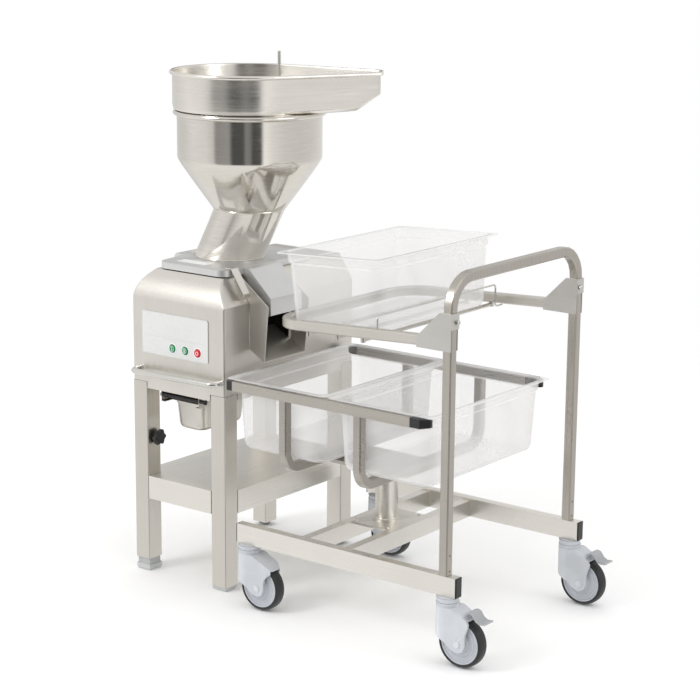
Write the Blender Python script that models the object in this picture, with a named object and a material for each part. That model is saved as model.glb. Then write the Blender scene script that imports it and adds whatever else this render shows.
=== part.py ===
"""Vegetable cutting machine on a four-legged stand, with a pan trolley parked at its outlet.

Metres, +Z up. X runs along the machine's front towards the trolley, Y runs to the back, the floor is z = 0.
"""

import math

import bmesh
import bpy
from mathutils import Matrix, Vector

for old in list(bpy.data.objects):
    bpy.data.objects.remove(old, do_unlink=True)

CLEAR = 0.0004          # gap left between pieces that rest on each other

# machine stand
BODY_W = 0.325
BODY_D = 0.543
LEG = 0.050
LEG_WALL = 0.002
LEG_TOP = 0.5330
LEG_ENDS = {"front_left": 0.034, "front_right": 0.010, "rear_left": 0.0125, "rear_right": 0.0125}
SHELF_TOP = 0.2715
SHELF_EDGE = 0.2076
SHEET = 0.002

# machine housing
HOUSING_BOTTOM = 0.5335
SKIRT_BOTTOM = 0.516
SHOULDER = 0.768
HOUSING_TOP = 0.835
SLOPE = 0.045
WALL = 0.003
DISC_X = 0.1625
DISC_Y = 0.234
DISC_R = 0.095
OUTLET_Y0 = 0.107
OUTLET_Y1 = 0.262
HINGE_X = 0.022
HINGE_Z = 0.848

# head, feed tube, hopper and tray
LID_BOTTOM = 0.838
LID_TOP = 0.855
TUBE_BASE = (0.140, 0.234, 0.8555)
TUBE_R = 0.091
TUBE_STRETCH = 1.06      # the leaning tube is cut level, so its ends are ovals
HOPPER_X = 0.214
HOPPER_Y = 0.234
HOPPER_R = 0.192
CONE_BOTTOM = 0.994
CONE_TOP = 1.128
FLANGE_TOP = 1.2540
TRAY_BOTTOM = FLANGE_TOP + CLEAR
TRAY_RIM = 1.358
TRAY_R = 0.198
TRAY_TURN = math.radians(36.0)
TRAY_LENGTH = 0.350
TRAY_END = 0.035
TRAY_X = HOPPER_X - 0.007
STIRRER_X = 0.315
STIRRER_TOP = 1.412

# trolley
TUBE = 0.025
NEAR_Y = -0.0321
FAR_Y = 0.5265
RAIL_X0 = 0.4035
RAIL_X1 = 1.0880
RAIL_Z0 = 0.170
RAIL_Z1 = 0.220
UPRIGHT_X = 1.051
HANDLE_TOP = 0.952
BAR_NEAR_Y = -0.0175
BAR_FAR_Y = 0.510
BAR_Z0 = 0.5655
BAR_X0 = 0.3755
BAR_X1 = {"near": 0.9370, "far": 0.9260}
U_PLANES = (0.5415, 0.7775)
PAN_L = 0.325
PAN_W = 0.530
LOW_RIM = 0.5937
SHELF_TILT = math.radians(2.65)
CASTER_XS = (0.4345, 1.0600)
CASTER_YS = (NEAR_Y, FAR_Y)
WHEEL_R = 0.0625
TRAIL = 0.0455


def material(name, colour, metallic, roughness):
    mat = bpy.data.materials.new(name)
    mat.use_nodes = True
    shader = mat.node_tree.nodes["Principled BSDF"]
    shader.inputs["Base Color"].default_value = (*colour, 1.0)
    shader.inputs["Metallic"].default_value = metallic
    shader.inputs["Roughness"].default_value = roughness
    return mat


LOOKS = {
    "steel": ((0.56, 0.55, 0.52), 1.0, 0.38),
    "polished": ((0.66, 0.66, 0.65), 1.0, 0.15),
    "cast": ((0.70, 0.70, 0.69), 1.0, 0.42),
    "black": ((0.025, 0.025, 0.027), 0.0, 0.45),
    "grey": ((0.42, 0.44, 0.46), 0.0, 0.5),
    "pale": ((0.70, 0.70, 0.68), 0.0, 0.5),
    "clear": ((0.85, 0.88, 0.90), 0.0, 0.12),
    "green": ((0.05, 0.42, 0.16), 0.0, 0.35),
    "red": ((0.60, 0.03, 0.03), 0.0, 0.35),
    "rubber": ((0.06, 0.06, 0.065), 0.0, 0.7),
    "panel": ((0.80, 0.80, 0.78), 0.0, 0.4),
    "bracket": ((0.36, 0.38, 0.35), 1.0, 0.55),
}


def finish(name, bm, look, smooth):
    mesh = bpy.data.meshes.new(name)
    bmesh.ops.recalc_face_normals(bm, faces=bm.faces)
    bm.to_mesh(mesh)
    bm.free()
    obj = bpy.data.objects.new(name, mesh)
    bpy.context.scene.collection.objects.link(obj)
    if look:
        mesh.materials.append(material(name, *LOOKS[look]))
    if smooth:
        mesh.shade_smooth()
        mesh.set_sharp_from_angle(angle=math.radians(35.0))
    return obj


def skin(name, loops, look=None, closed=False, smooth=False):
    """Join matching loops of points by quads; the ends are capped unless the skin closes on itself."""
    bm = bmesh.new()
    rows = [[bm.verts.new(p) for p in loop] for loop in loops]
    count = len(loops[0])
    pairs = list(zip(rows, rows[1:]))
    if closed:
        pairs.append((rows[-1], rows[0]))
    for a, b in pairs:
        for i in range(count):
            j = (i + 1) % count
            bm.faces.new((a[i], a[j], b[j], b[i]))
    if not closed:
        bm.faces.new(rows[0][::-1])
        bm.faces.new(rows[-1])
    return finish(name, bm, look, smooth)


def box(name, x, y, z, look=None):
    low = [(x[0], y[0], z[0]), (x[1], y[0], z[0]), (x[1], y[1], z[0]), (x[0], y[1], z[0])]
    high = [(p[0], p[1], z[1]) for p in low]
    return skin(name, [low, high], look)


def prism_y(name, outline, y0, y1, look=None, smooth=False):
    """An outline of (x, z) points carried from y0 to y1."""
    return skin(name, [[(x, y, z) for x, z in outline] for y in (y0, y1)], look, smooth=smooth)


def prism_z(name, outline, z0, z1, look=None, smooth=False):
    return skin(name, [[(x, y, z) for x, y in outline] for z in (z0, z1)], look, smooth=smooth)


def ring(cx, cy, radius, z, count, stretch=1.0):
    """A level circle, drawn out along X when stretch is above one."""
    step = 2.0 * math.pi / count
    return [(cx + stretch * radius * math.cos(i * step), cy + radius * math.sin(i * step),
             z) for i in range(count)]


def rounded(x0, x1, y0, y1, radius, z, steps):
    """A rounded rectangle in a level plane."""
    points = []
    corners = ((x1 - radius, y1 - radius), (x0 + radius, y1 - radius),
               (x0 + radius, y0 + radius), (x1 - radius, y0 + radius))
    for k, (cx, cy) in enumerate(corners):
        for i in range(steps + 1):
            turn = (k + i / steps) * math.pi / 2.0
            points.append((cx + radius * math.cos(turn), cy + radius * math.sin(turn), z))
    return points


def lathe(name, profile, centre, axis, count, look=None, closed=False):
    """Turn (along, radius) pairs about an axis through the centre; radius 0 ends become a point."""
    bm = bmesh.new()
    rows = []
    for along, radius in profile:
        row = []
        for i in range(1 if radius == 0.0 else count):
            turn = 2.0 * math.pi * i / count
            c, s = radius * math.cos(turn), radius * math.sin(turn)
            offset = {"x": (along, c, s), "y": (c, along, s), "z": (c, s, along)}[axis]
            row.append(bm.verts.new(Vector(centre) + Vector(offset)))
        rows.append(row)
    pairs = list(zip(rows, rows[1:]))
    if closed:
        pairs.append((rows[-1], rows[0]))
    for a, b in pairs:
        for i in range(count):
            j = (i + 1) % count
            if len(a) == 1:
                bm.faces.new((a[0], b[j], b[i]))
            elif len(b) == 1:
                bm.faces.new((a[i], a[j], b[0]))
            else:
                bm.faces.new((a[i], a[j], b[j], b[i]))
    return finish(name, bm, look, True)


def fillet(corners, radii, steps):
    """A path through the corner points with each bend rounded to its radius."""
    path = [Vector(corners[0])]
    for k in range(1, len(corners) - 1):
        here = Vector(corners[k])
        back = (Vector(corners[k - 1]) - here).normalized()
        ahead = (Vector(corners[k + 1]) - here).normalized()
        half = back.angle(ahead) / 2.0
        reach = radii[k - 1] / math.tan(half)
        middle = (back + ahead).normalized()
        centre = here + middle * (radii[k - 1] / math.sin(half))
        start = here + back * reach - centre
        end = here + ahead * reach - centre
        total = start.angle(end)
        for i in range(steps + 1):
            t = i / steps
            a = math.sin((1.0 - t) * total) / math.sin(total)
            b = math.sin(t * total) / math.sin(total)
            path.append(centre + start * a + end * b)
    path.append(Vector(corners[-1]))
    return path


def sweep_loops(path, profile, side):
    """Loops of a flat profile (sideways, across) held square to the path; side fixes the sideways axis."""
    loops = []
    for k, here in enumerate(path):
        before = path[max(k - 1, 0)]
        after = path[min(k + 1, len(path) - 1)]
        into = (here - before).normalized() if k else (after - here).normalized()
        out = (after - here).normalized() if k < len(path) - 1 else into
        along = (into + out).normalized()
        across = along.cross(side).normalized()
        stretch = 1.0 / max(along.dot(into), 0.3)
        loops.append([tuple(here + side * s + across * (a * stretch)) for s, a in profile])
    return loops


def square(size, radius=0.003):
    h = size / 2.0
    r = h - radius
    return [(h, -r), (h, r), (r, h), (-r, h), (-h, r), (-h, -r), (-r, -h), (r, -h)]


def circle(radius, count):
    step = 2.0 * math.pi / count
    return [(radius * math.cos(i * step), radius * math.sin(i * step)) for i in range(count)]


def tube(name, path, size, wall, side, look=None):
    """A bent square tube, open at both ends."""
    side = Vector(side)
    outer = sweep_loops(path, square(size), side)
    inner = sweep_loops(path, square(size - 2.0 * wall, 0.002), side)
    return skin(name, outer + inner[::-1], look, closed=True, smooth=True)


def wire(name, path, radius, side, look=None, count=12):
    return skin(name, sweep_loops(path, circle(radius, count), Vector(side)), look, smooth=True)


def combine(base, tool, mode):
    step = base.modifiers.new(tool.name, "BOOLEAN")
    step.operation = mode
    step.solver = "EXACT"
    step.object = tool
    tool.hide_render = True
    tool.display_type = "WIRE"


def join(base, *tools):
    for tool in tools:
        combine(base, tool, "UNION")


def cut(base, *tools):
    for tool in tools:
        combine(base, tool, "DIFFERENCE")


def rod_tool(name, centre, axis, length, radius, count=24):
    profile = [(-length / 2.0, 0.0), (-length / 2.0, radius), (length / 2.0, radius), (length / 2.0, 0.0)]
    return lathe(name, profile, centre, axis, count)


def set_origin(obj, point):
    """Put a moving piece's origin on its joint axis without moving the piece."""
    obj.data.transform(Matrix.Translation(-Vector(point)))
    obj.location = point


# ---------------------------------------------------------------- machine stand
def build_leg(corner, x0, y0):
    x1, y1 = x0 + LEG, y0 + LEG
    bottom = LEG_ENDS[corner]
    radius = 0.003

    def loop(inset, z):
        return rounded(x0 + inset, x1 - inset, y0 + inset, y1 - inset, max(radius - inset, 0.001), z, 2)

    loops = [loop(0.0, bottom), loop(0.0, LEG_TOP), loop(LEG_WALL, LEG_TOP), loop(LEG_WALL, bottom)]
    return skin("leg_" + corner, loops, "steel", closed=True)


LEG_SPOTS = {
    "front_left": (0.0, 0.0),
    "front_right": (BODY_W - LEG, 0.0),
    "rear_left": (0.0, BODY_D - LEG),
    "rear_right": (BODY_W - LEG, BODY_D - LEG),
}
for corner_name, (leg_x, leg_y) in LEG_SPOTS.items():
    build_leg(corner_name, leg_x, leg_y)


def plus_outline(inset, notch):
    """The plan of a plate that reaches the outer faces between the four legs."""
    a, b = inset, BODY_W - inset
    c, d = inset, BODY_D - inset
    return [(notch, c), (BODY_W - notch, c), (BODY_W - notch, notch), (b, notch),
            (b, BODY_D - notch), (BODY_W - notch, BODY_D - notch), (BODY_W - notch, d), (notch, d),
            (notch, BODY_D - notch), (a, BODY_D - notch), (a, notch), (notch, notch)]


def build_shelf():
    outer = plus_outline(0.0, LEG + CLEAR)
    inner = plus_outline(SHEET, LEG + CLEAR + SHEET)
    loops = [[(x, y, SHELF_TOP) for x, y in outer], [(x, y, SHELF_EDGE) for x, y in outer],
             [(x, y, SHELF_EDGE) for x, y in inner], [(x, y, SHELF_TOP - SHEET) for x, y in inner]]
    skin("lower_shelf", loops, "steel")


build_shelf()


def build_levelling_foot(name, x0, y0, leg_bottom):
    cx, cy = x0 + LEG / 2.0, y0 + LEG / 2.0
    pad = LEG / 2.0 - 0.0005
    neck = LEG / 2.0 - LEG_WALL - 0.0010
    pad_top = min(0.0160, leg_bottom - CLEAR)
    spans = [(0.0, pad - 0.0030), (0.0030, pad), (pad_top, pad), (pad_top, neck),
             (leg_bottom + 0.060, neck)]
    loops = [rounded(cx - h, cx + h, cy - h, cy + h, 0.003, z, 2) for z, h in spans]
    foot = skin(name, loops, "pale")
    set_origin(foot, (cx, cy, leg_bottom))


build_levelling_foot("levelling_foot_left", 0.0, 0.0, LEG_ENDS["front_left"])
build_levelling_foot("levelling_foot_right", BODY_W - LEG, 0.0, LEG_ENDS["front_right"])


def build_leg_wheel(name, x0):
    """A small wheel tucked inside the end of a rear leg, on its own axle stub."""
    centre = (x0 + LEG / 2.0, BODY_D - LEG / 2.0, 0.0200)
    profile = [(-0.0220, 0.0), (-0.0220, 0.004), (-0.0125, 0.004), (-0.0125, 0.0175), (-0.0105, 0.0200),
               (0.0105, 0.0200), (0.0125, 0.0175), (0.0125, 0.004), (0.0220, 0.004), (0.0220, 0.0)]
    wheel = lathe(name, profile, centre, "x", 16, "black")
    set_origin(wheel, centre)


build_leg_wheel("leg_wheel_left", 0.0)
build_leg_wheel("leg_wheel_right", BODY_W - LEG)


def build_lock_knob():
    """Six-lobed screw knob on the inner face of the front left leg."""
    cy, cz = 0.030, 0.376
    stations = [(0.0, 0.010, 0.0), (0.006, 0.010, 0.0), (0.0065, 0.0200, 0.0022), (0.0175, 0.0205, 0.0026),
                (0.0205, 0.0170, 0.0020)]
    loops = []
    for along, radius, lobe in stations:
        loop = []
        for i in range(36):
            turn = 2.0 * math.pi * i / 36
            r = radius + lobe * math.cos(6.0 * turn)
            loop.append((LEG + CLEAR + along, cy + r * math.cos(turn), cz + r * math.sin(turn)))
        loops.append(loop)
    knob = skin("lock_knob", loops, "black", smooth=True)
    set_origin(knob, (LEG + CLEAR, cy, cz))


build_lock_knob()


# ---------------------------------------------------------------- machine housing
def housing_loop(inset, z, slope):
    """Plan of the housing at one height: crowned at the left and front, a flat slope at the right."""
    right = SLOPE * max(z - SHOULDER, 0.0) / (HOUSING_TOP - SHOULDER)
    x0, x1 = slope + inset, BODY_W - right - inset
    return rounded(x0, x1, slope + inset, BODY_D - inset, max(0.006 - inset, 0.002), z, 3)


BUTTON_Z = 0.639
BUTTON_R = 0.0105
BUTTONS = {"button_low_speed": (0.1460, "green"), "button_high_speed": (0.1910, "green"),
           "button_stop": (0.2350, "red")}


def build_housing():
    shoulder = [(0.0, 0.7600), (0.0010, SHOULDER), (0.0060, 0.7850), (0.0170, 0.8050), (0.0300, 0.8210)]
    outer = [(0.0, HOUSING_BOTTOM)] + shoulder + [(SLOPE, HOUSING_TOP)]
    inner = [(SLOPE, HOUSING_TOP - WALL)] + [(s, z - WALL / 2.0) for s,
                                             z in shoulder[::-1]] + [(0.0, HOUSING_BOTTOM)]
    loops = [housing_loop(0.0, z, s) for s, z in outer] + [housing_loop(WALL, z, s) for s, z in inner]
    shell = skin("housing_shell", loops[len(outer) - 1::-1] + loops[:len(outer) - 1:-1], "steel")
    skirts = [
        box("skirt_front", (LEG + 0.001, BODY_W - LEG - 0.001), (0.0, WALL),
            (SKIRT_BOTTOM, HOUSING_BOTTOM + 0.01)),
        box("skirt_right", (BODY_W - WALL, BODY_W), (LEG + 0.001, BODY_D - LEG - 0.001),
            (SKIRT_BOTTOM, HOUSING_BOTTOM + 0.01)),
        box("skirt_left", (0.0, WALL), (LEG + 0.001, BODY_D - LEG - 0.001),
            (SKIRT_BOTTOM, HOUSING_BOTTOM + 0.01)),
    ]
    join(shell, *skirts)
    lug = [(HINGE_X - 0.010, HINGE_Z - 0.010), (HINGE_X - 0.010, HINGE_Z + 0.004),
           (HINGE_X - 0.004, HINGE_Z + 0.010),
           (HINGE_X + 0.004, HINGE_Z + 0.010), (HINGE_X + 0.010, HINGE_Z + 0.004), (0.0415, 0.8305),
           (0.0150, 0.7895)]
    join(shell, prism_y("hinge_lug", lug, 0.200, 0.290))
    pin = rod_tool("hinge_pin", (HINGE_X, 0.245, HINGE_Z), "y", 0.190, 0.0045, 16)
    join(shell, pin)
    well = rod_tool("well_cut", (DISC_X, DISC_Y, HOUSING_TOP), "z", 0.040, 0.1100, 36)
    outlet = box("outlet_cut", (0.200, 0.340), (OUTLET_Y0, OUTLET_Y1), (0.641, 0.850))
    holes = [rod_tool("hole_" + n, (x, 0.0, BUTTON_Z), "y", 0.030, BUTTON_R + 0.0008, 20) for n,
             (x, _) in BUTTONS.items()]
    cut(shell, well, outlet, *holes)


build_housing()


def build_chamber():
    """The open-topped cutting chamber: floor, wall and motor seat, open on the outlet side."""
    profile = [(0.7000, 0.0125), (0.7000, 0.1085), (0.8320, 0.1085), (0.8320, 0.1045), (0.7050, 0.1045),
               (0.7050, 0.0125)]
    bowl = lathe("chamber_bowl", profile, (DISC_X, DISC_Y, 0.0), "z", 36, "cast", closed=True)
    mouth = box("mouth_cut", (DISC_X + 0.050, DISC_X + 0.150), (0.128, 0.241), (0.7051, 0.850))
    cut(bowl, mouth)


build_chamber()

MOTOR_PROFILE = [(0.5300, 0.0), (0.5300, 0.062), (0.5450, 0.075), (0.6750, 0.075), (0.6900, 0.060),
                 (0.6900, 0.0)]
lathe("motor", MOTOR_PROFILE, (DISC_X, DISC_Y, 0.0), "z", 24, "grey")


def build_rotor():
    """Drive shaft with the ejector and its three vanes, and the cutting disc on top."""
    profile = [(0.6905, 0.0), (0.6905, 0.0100), (0.7120, 0.0100), (0.7120, 0.0900), (0.7160, 0.0900),
               (0.7200, 0.030),
               (0.7600, 0.0250), (0.7640, 0.0100), (0.8250, 0.0100), (0.8300, 0.0070), (0.8300, 0.0)]
    shaft = lathe("drive_shaft", profile, (DISC_X, DISC_Y, 0.0), "z", 24, "cast")
    for k in range(3):
        vane = box("vane_%d" % k, (0.015, 0.088), (-0.003, 0.003), (0.7140, 0.7550))
        vane.data.transform(Matrix.Rotation(math.radians(20.0 + 120.0 * k), 4, "Z"))
        vane.data.transform(Matrix.Translation((DISC_X, DISC_Y, 0.0)))
        join(shaft, vane)
    disc_profile = [(0.7860, 0.0106), (0.7860, 0.0240), (0.7900, 0.0300), (0.7900, DISC_R),
                    (0.7935, DISC_R),
                    (0.7935, 0.0300), (0.8000, 0.0200), (0.8000, 0.0106)]
    disc = lathe("cutting_disc", disc_profile, (DISC_X, DISC_Y, 0.0), "z", 32, "polished", closed=True)
    slot = box("blade_slot", (0.035, 0.086), (-0.005, 0.005), (0.780, 0.800))
    slot.data.transform(Matrix.Rotation(math.radians(250.0), 4, "Z"))
    slot.data.transform(Matrix.Translation((DISC_X, DISC_Y, 0.0)))
    cut(disc, slot)


build_rotor()


def build_chute():
    """Folded outlet chute: two cheeks outside the housing and a sloping floor that starts inside it."""
    cheek = [(0.2950, 0.8360), (0.3900, 0.7645), (0.3760, 0.6160), (0.3265, 0.6455), (0.3265, 0.7697),
             (0.2850, 0.8330)]
    floor = [(0.3268, 0.6453), (0.3760, 0.6160), (0.3760, 0.6180), (0.3268, 0.6473)]
    tongue = [(0.2740, 0.6770), (0.3300, 0.6434), (0.3300, 0.6454), (0.2740, 0.6790)]
    chute = prism_y("discharge_chute", cheek, 0.0985, 0.1005, "steel")
    far = prism_y("cheek_far", cheek, 0.2665, 0.2685)
    join(chute, prism_y("chute_floor", floor, 0.0990, 0.2680), far)
    join(chute, prism_y("chute_tongue", tongue, OUTLET_Y0 + 0.001, OUTLET_Y1 - 0.001))


build_chute()


def build_underplate():
    """Closing plate under the housing with the two-lipped runner for the drip pan."""
    outline = plus_outline(WALL + 0.0005, LEG + CLEAR)
    plate = prism_z("underplate", outline, 0.5240, 0.5260, "steel")
    web = 0.0015
    x0, x1, top, low = 0.0895, 0.2235, 0.5245, 0.4840
    lip = 0.0125
    runner = [(x0, top), (x0, low), (x0 + lip, low), (x0 + lip, low + web), (x0 + web, low + web),
              (x0 + web, 0.5130), (x1 - web, 0.5130), (x1 - web, low + web), (x1 - lip, low + web),
              (x1 - lip, low), (x1, low), (x1, top)]
    join(plate, prism_y("runner", runner, 0.0125, 0.2420))
    cut(plate, rod_tool("rod_hole", (0.163, 0.0200, 0.5020), "x", 0.160, 0.0054, 16))


build_underplate()

ROD_PROFILE = [(-0.0790, 0.0), (-0.0790, 0.0058), (-0.0782, 0.0066), (-0.0762, 0.0066), (-0.0762, 0.0050),
               (0.0762, 0.0050), (0.0762, 0.0066), (0.0782, 0.0066), (0.0790, 0.0058), (0.0790, 0.0)]
lathe("stop_rod", ROD_PROFILE, (0.1630, 0.0200, 0.5020), "x", 16, "black")


def build_handle():
    bow = [(0.0210, -CLEAR, 0.5670), (0.0210, -0.0300, 0.5665), (0.1685, -0.0340, 0.5685),
           (0.3160, -0.0300, 0.5700),
           (0.3160, -CLEAR, 0.5705)]
    path = fillet(bow, (0.020, 0.400, 0.020), 4)
    loops = sweep_loops(path, circle(0.0078, 10), Vector((0.0, 0.0, 1.0)))
    skin("carry_handle", loops, "polished", smooth=True)


build_handle()


def build_panel():
    outline = [(x, z) for x, z, _ in rounded(0.0365, 0.2700, 0.6140, 0.7295, 0.0070, 0.0, 3)]
    panel = prism_y("control_panel", outline, -0.0024, -CLEAR, "panel")
    holes = [rod_tool("panel_" + n, (x, 0.0, BUTTON_Z), "y", 0.030, BUTTON_R + 0.0008, 20) for n,
             (x, _) in BUTTONS.items()]
    cut(panel, *holes)
    for name, (x, look) in BUTTONS.items():
        profile = [(-0.0070, 0.0), (-0.0070, BUTTON_R - 0.0020), (-0.0058, BUTTON_R), (0.0100, BUTTON_R),
                   (0.0100, 0.0)]
        button = lathe(name, profile, (x, 0.0, BUTTON_Z), "y", 20, look)
        set_origin(button, (x, 0.0, BUTTON_Z))


build_panel()


def build_drip_pan():
    cx, cy = 0.1565, 0.135
    stations = [(0.4090, 0.036, 0.076, 0.020), (0.4110, 0.042, 0.082, 0.022),
                (0.4190, 0.0465, 0.0865, 0.024),
                (0.4862, 0.0510, 0.0910, 0.018), (0.4862, 0.0600, 0.1000, 0.018),
                (0.4885, 0.0600, 0.1000, 0.018),
                (0.4890, 0.0495, 0.0895, 0.017), (0.4200, 0.0450, 0.0850, 0.022),
                (0.4125, 0.0405, 0.0805, 0.020),
                (0.4108, 0.0350, 0.0750, 0.019)]
    loops = [rounded(cx - a, cx + a, cy - b, cy + b, r, z, 3) for z, a, b, r in stations]
    pan = skin("drip_pan", loops, "steel", smooth=True)
    set_origin(pan, (cx, cy, 0.4875))


build_drip_pan()


# ---------------------------------------------------------------- head
def lid_outline():
    """Plan of the lid: rounded front, a left edge that flares back to the hinge, rounded rear."""
    points = []

    def arc(cx, cy, radius, start, end, steps):
        for i in range(steps + 1):
            turn = math.radians(start + (end - start) * i / steps)
            points.append((cx + radius * math.cos(turn), cy + radius * math.sin(turn)))

    arc(0.0800, 0.0750, 0.030, 180, 270, 5)
    arc(0.2580, 0.0750, 0.030, 270, 360, 5)
    arc(0.2580, 0.3850, 0.030, 0, 90, 5)
    arc(0.0900, 0.3850, 0.030, 90, 170, 5)
    points.append((0.0400, 0.3320))
    points.append((0.0400, 0.1500))
    return points


def build_head():
    lid = prism_z("head_lid", lid_outline(), LID_BOTTOM, LID_TOP, "cast")
    outer = [(0.2550, 0.8410), (0.2550, 0.8550), (0.3020, 0.8540), (0.3100, 0.8500), (0.3800, 0.7830),
             (0.3810, 0.7380), (0.3300, 0.7380), (0.3285, 0.7705), (0.2830, 0.8385)]
    hood = prism_y("hood_block", outer, 0.1200, 0.2480)
    hollow = [(0.2200, 0.8300), (0.2600, 0.8470), (0.3000, 0.8470), (0.3055, 0.8450), (0.3740, 0.7800),
              (0.3745, 0.7300), (0.2500, 0.7300)]
    knuckle = [(HINGE_X - 0.010, HINGE_Z - 0.004), (HINGE_X - 0.010, HINGE_Z + 0.004),
               (HINGE_X - 0.004, HINGE_Z + 0.010),
               (HINGE_X + 0.004, HINGE_Z + 0.010), (0.0460, 0.8540), (0.0460, 0.8390),
               (HINGE_X + 0.004, HINGE_Z - 0.010),
               (HINGE_X - 0.004, HINGE_Z - 0.010)]
    join(lid, hood, prism_y("knuckle_near", knuckle, 0.1555, 0.1990),
         prism_y("knuckle_far", knuckle, 0.2910, 0.3345))
    throat_plan = [(x, y) for x, y,
                   _ in ring(TUBE_BASE[0], TUBE_BASE[1], TUBE_R - 0.003, 0.0, 40, TUBE_STRETCH)]
    throat = prism_z("throat", throat_plan, 0.8300, 0.8700)
    pin_room = rod_tool("pin_room", (HINGE_X, 0.245, HINGE_Z), "y", 0.240, 0.0050, 16)
    cut(lid, prism_y("hood_hollow", hollow, 0.1265, 0.2415), throat, pin_room)
    set_origin(lid, (HINGE_X, 0.245, HINGE_Z))


build_head()


def build_latch():
    """Bent toggle strip hung from the lid's right edge, lying over the shoulder."""
    strip = [(0.2750, 0.8580), (0.2750, 0.8605), (0.2930, 0.8605), (0.3345, 0.7975), (0.3345, 0.7860),
             (0.3320, 0.7860), (0.3320, 0.7968), (0.2918, 0.8580)]
    latch = prism_y("lid_latch", strip, 0.0650, 0.0900, "polished")
    set_origin(latch, (0.2765, 0.0775, 0.8592))


build_latch()


def build_hopper():
    """Leaning feed tube, cone, cylinder and rolled flange, open at both ends."""
    count = 48
    bx, by, bz = TUBE_BASE
    neck = HOPPER_X - 0.003
    outer = [ring(bx, by, TUBE_R, bz, count, TUBE_STRETCH),
             ring(neck, HOPPER_Y, TUBE_R + 0.001, CONE_BOTTOM - 0.003, count, TUBE_STRETCH + 0.01),
             ring(neck, HOPPER_Y, TUBE_R + 0.003, CONE_BOTTOM, count, TUBE_STRETCH + 0.01),
             ring(HOPPER_X, HOPPER_Y, HOPPER_R, CONE_TOP, count),
             ring(HOPPER_X, HOPPER_Y, HOPPER_R, FLANGE_TOP - 0.012, count)]
    for k in range(4):
        turn = math.radians(-60.0 + 50.0 * k)
        outer.append(ring(HOPPER_X, HOPPER_Y, 0.1970 + 0.006 * math.cos(turn),
                          FLANGE_TOP - 0.006 + 0.006 * math.sin(turn), count))
    inner = [ring(HOPPER_X, HOPPER_Y, HOPPER_R - 0.002, FLANGE_TOP, count),
             ring(HOPPER_X, HOPPER_Y, HOPPER_R - 0.002, CONE_TOP + 0.001, count),
             ring(neck, HOPPER_Y, TUBE_R + 0.001, CONE_BOTTOM + 0.001, count, TUBE_STRETCH + 0.01),
             ring(neck, HOPPER_Y, TUBE_R - 0.001, CONE_BOTTOM - 0.003, count, TUBE_STRETCH + 0.01),
             ring(bx, by, TUBE_R - 0.002, bz, count, TUBE_STRETCH)]
    skin("feed_hopper", outer + inner, "polished", closed=True, smooth=True)


build_hopper()

TRAY_SIDE_SPOTS = (0.25, 0.50, 0.77, 0.88)
TRAY_RAMP = 0.060
TRAY_ARC_STEPS = 24


def teardrop(radius, length, end, corner):
    """Outline of a circle drawn out to a narrow rounded end along +X, as (x, y) about the circle centre."""
    tip = length - corner
    half = end - corner
    lean = math.atan2(half, tip)
    open_angle = lean + math.acos((radius - corner) / math.hypot(tip, half))
    points = []
    for i in range(TRAY_ARC_STEPS + 1):
        turn = open_angle + (2.0 * math.pi - 2.0 * open_angle) * i / TRAY_ARC_STEPS
        points.append((radius * math.cos(turn), radius * math.sin(turn)))
    low = (tip + corner * math.cos(open_angle), -(half + corner * math.sin(open_angle)))
    x0, y0 = points[-1]
    side = [(x0 + (low[0] - x0) * t, y0 + (low[1] - y0) * t) for t in TRAY_SIDE_SPOTS]
    nose = []
    for i in range(4):
        turn = -open_angle + open_angle * i / 3.0
        nose.append((tip + corner * math.cos(turn), -half + corner * math.sin(turn)))
    lower = side + nose
    return points + lower + [(x, -y) for x, y in lower[::-1]]


def tray_loop(radius, length, end, z_round, z_tip):
    loop = []
    for x, y in teardrop(radius, length, end, 0.014):
        t = min(max((x - length + TRAY_RAMP) / TRAY_RAMP, 0.0), 1.0)
        z = z_round + (z_tip - z_round) * t
        gx = TRAY_X + x * math.cos(TRAY_TURN) - y * math.sin(TRAY_TURN)
        gy = HOPPER_Y + x * math.sin(TRAY_TURN) + y * math.cos(TRAY_TURN)
        loop.append((gx, gy, z))
    return loop


def round_loop(radius, z):
    """A level circle whose points face those of the teardrop outline."""
    loop = []
    for x, y in teardrop(TRAY_R, TRAY_LENGTH, TRAY_END, 0.014):
        turn = math.atan2(y, x) + TRAY_TURN
        loop.append((HOPPER_X + radius * math.cos(turn), HOPPER_Y + radius * math.sin(turn), z))
    return loop


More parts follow.
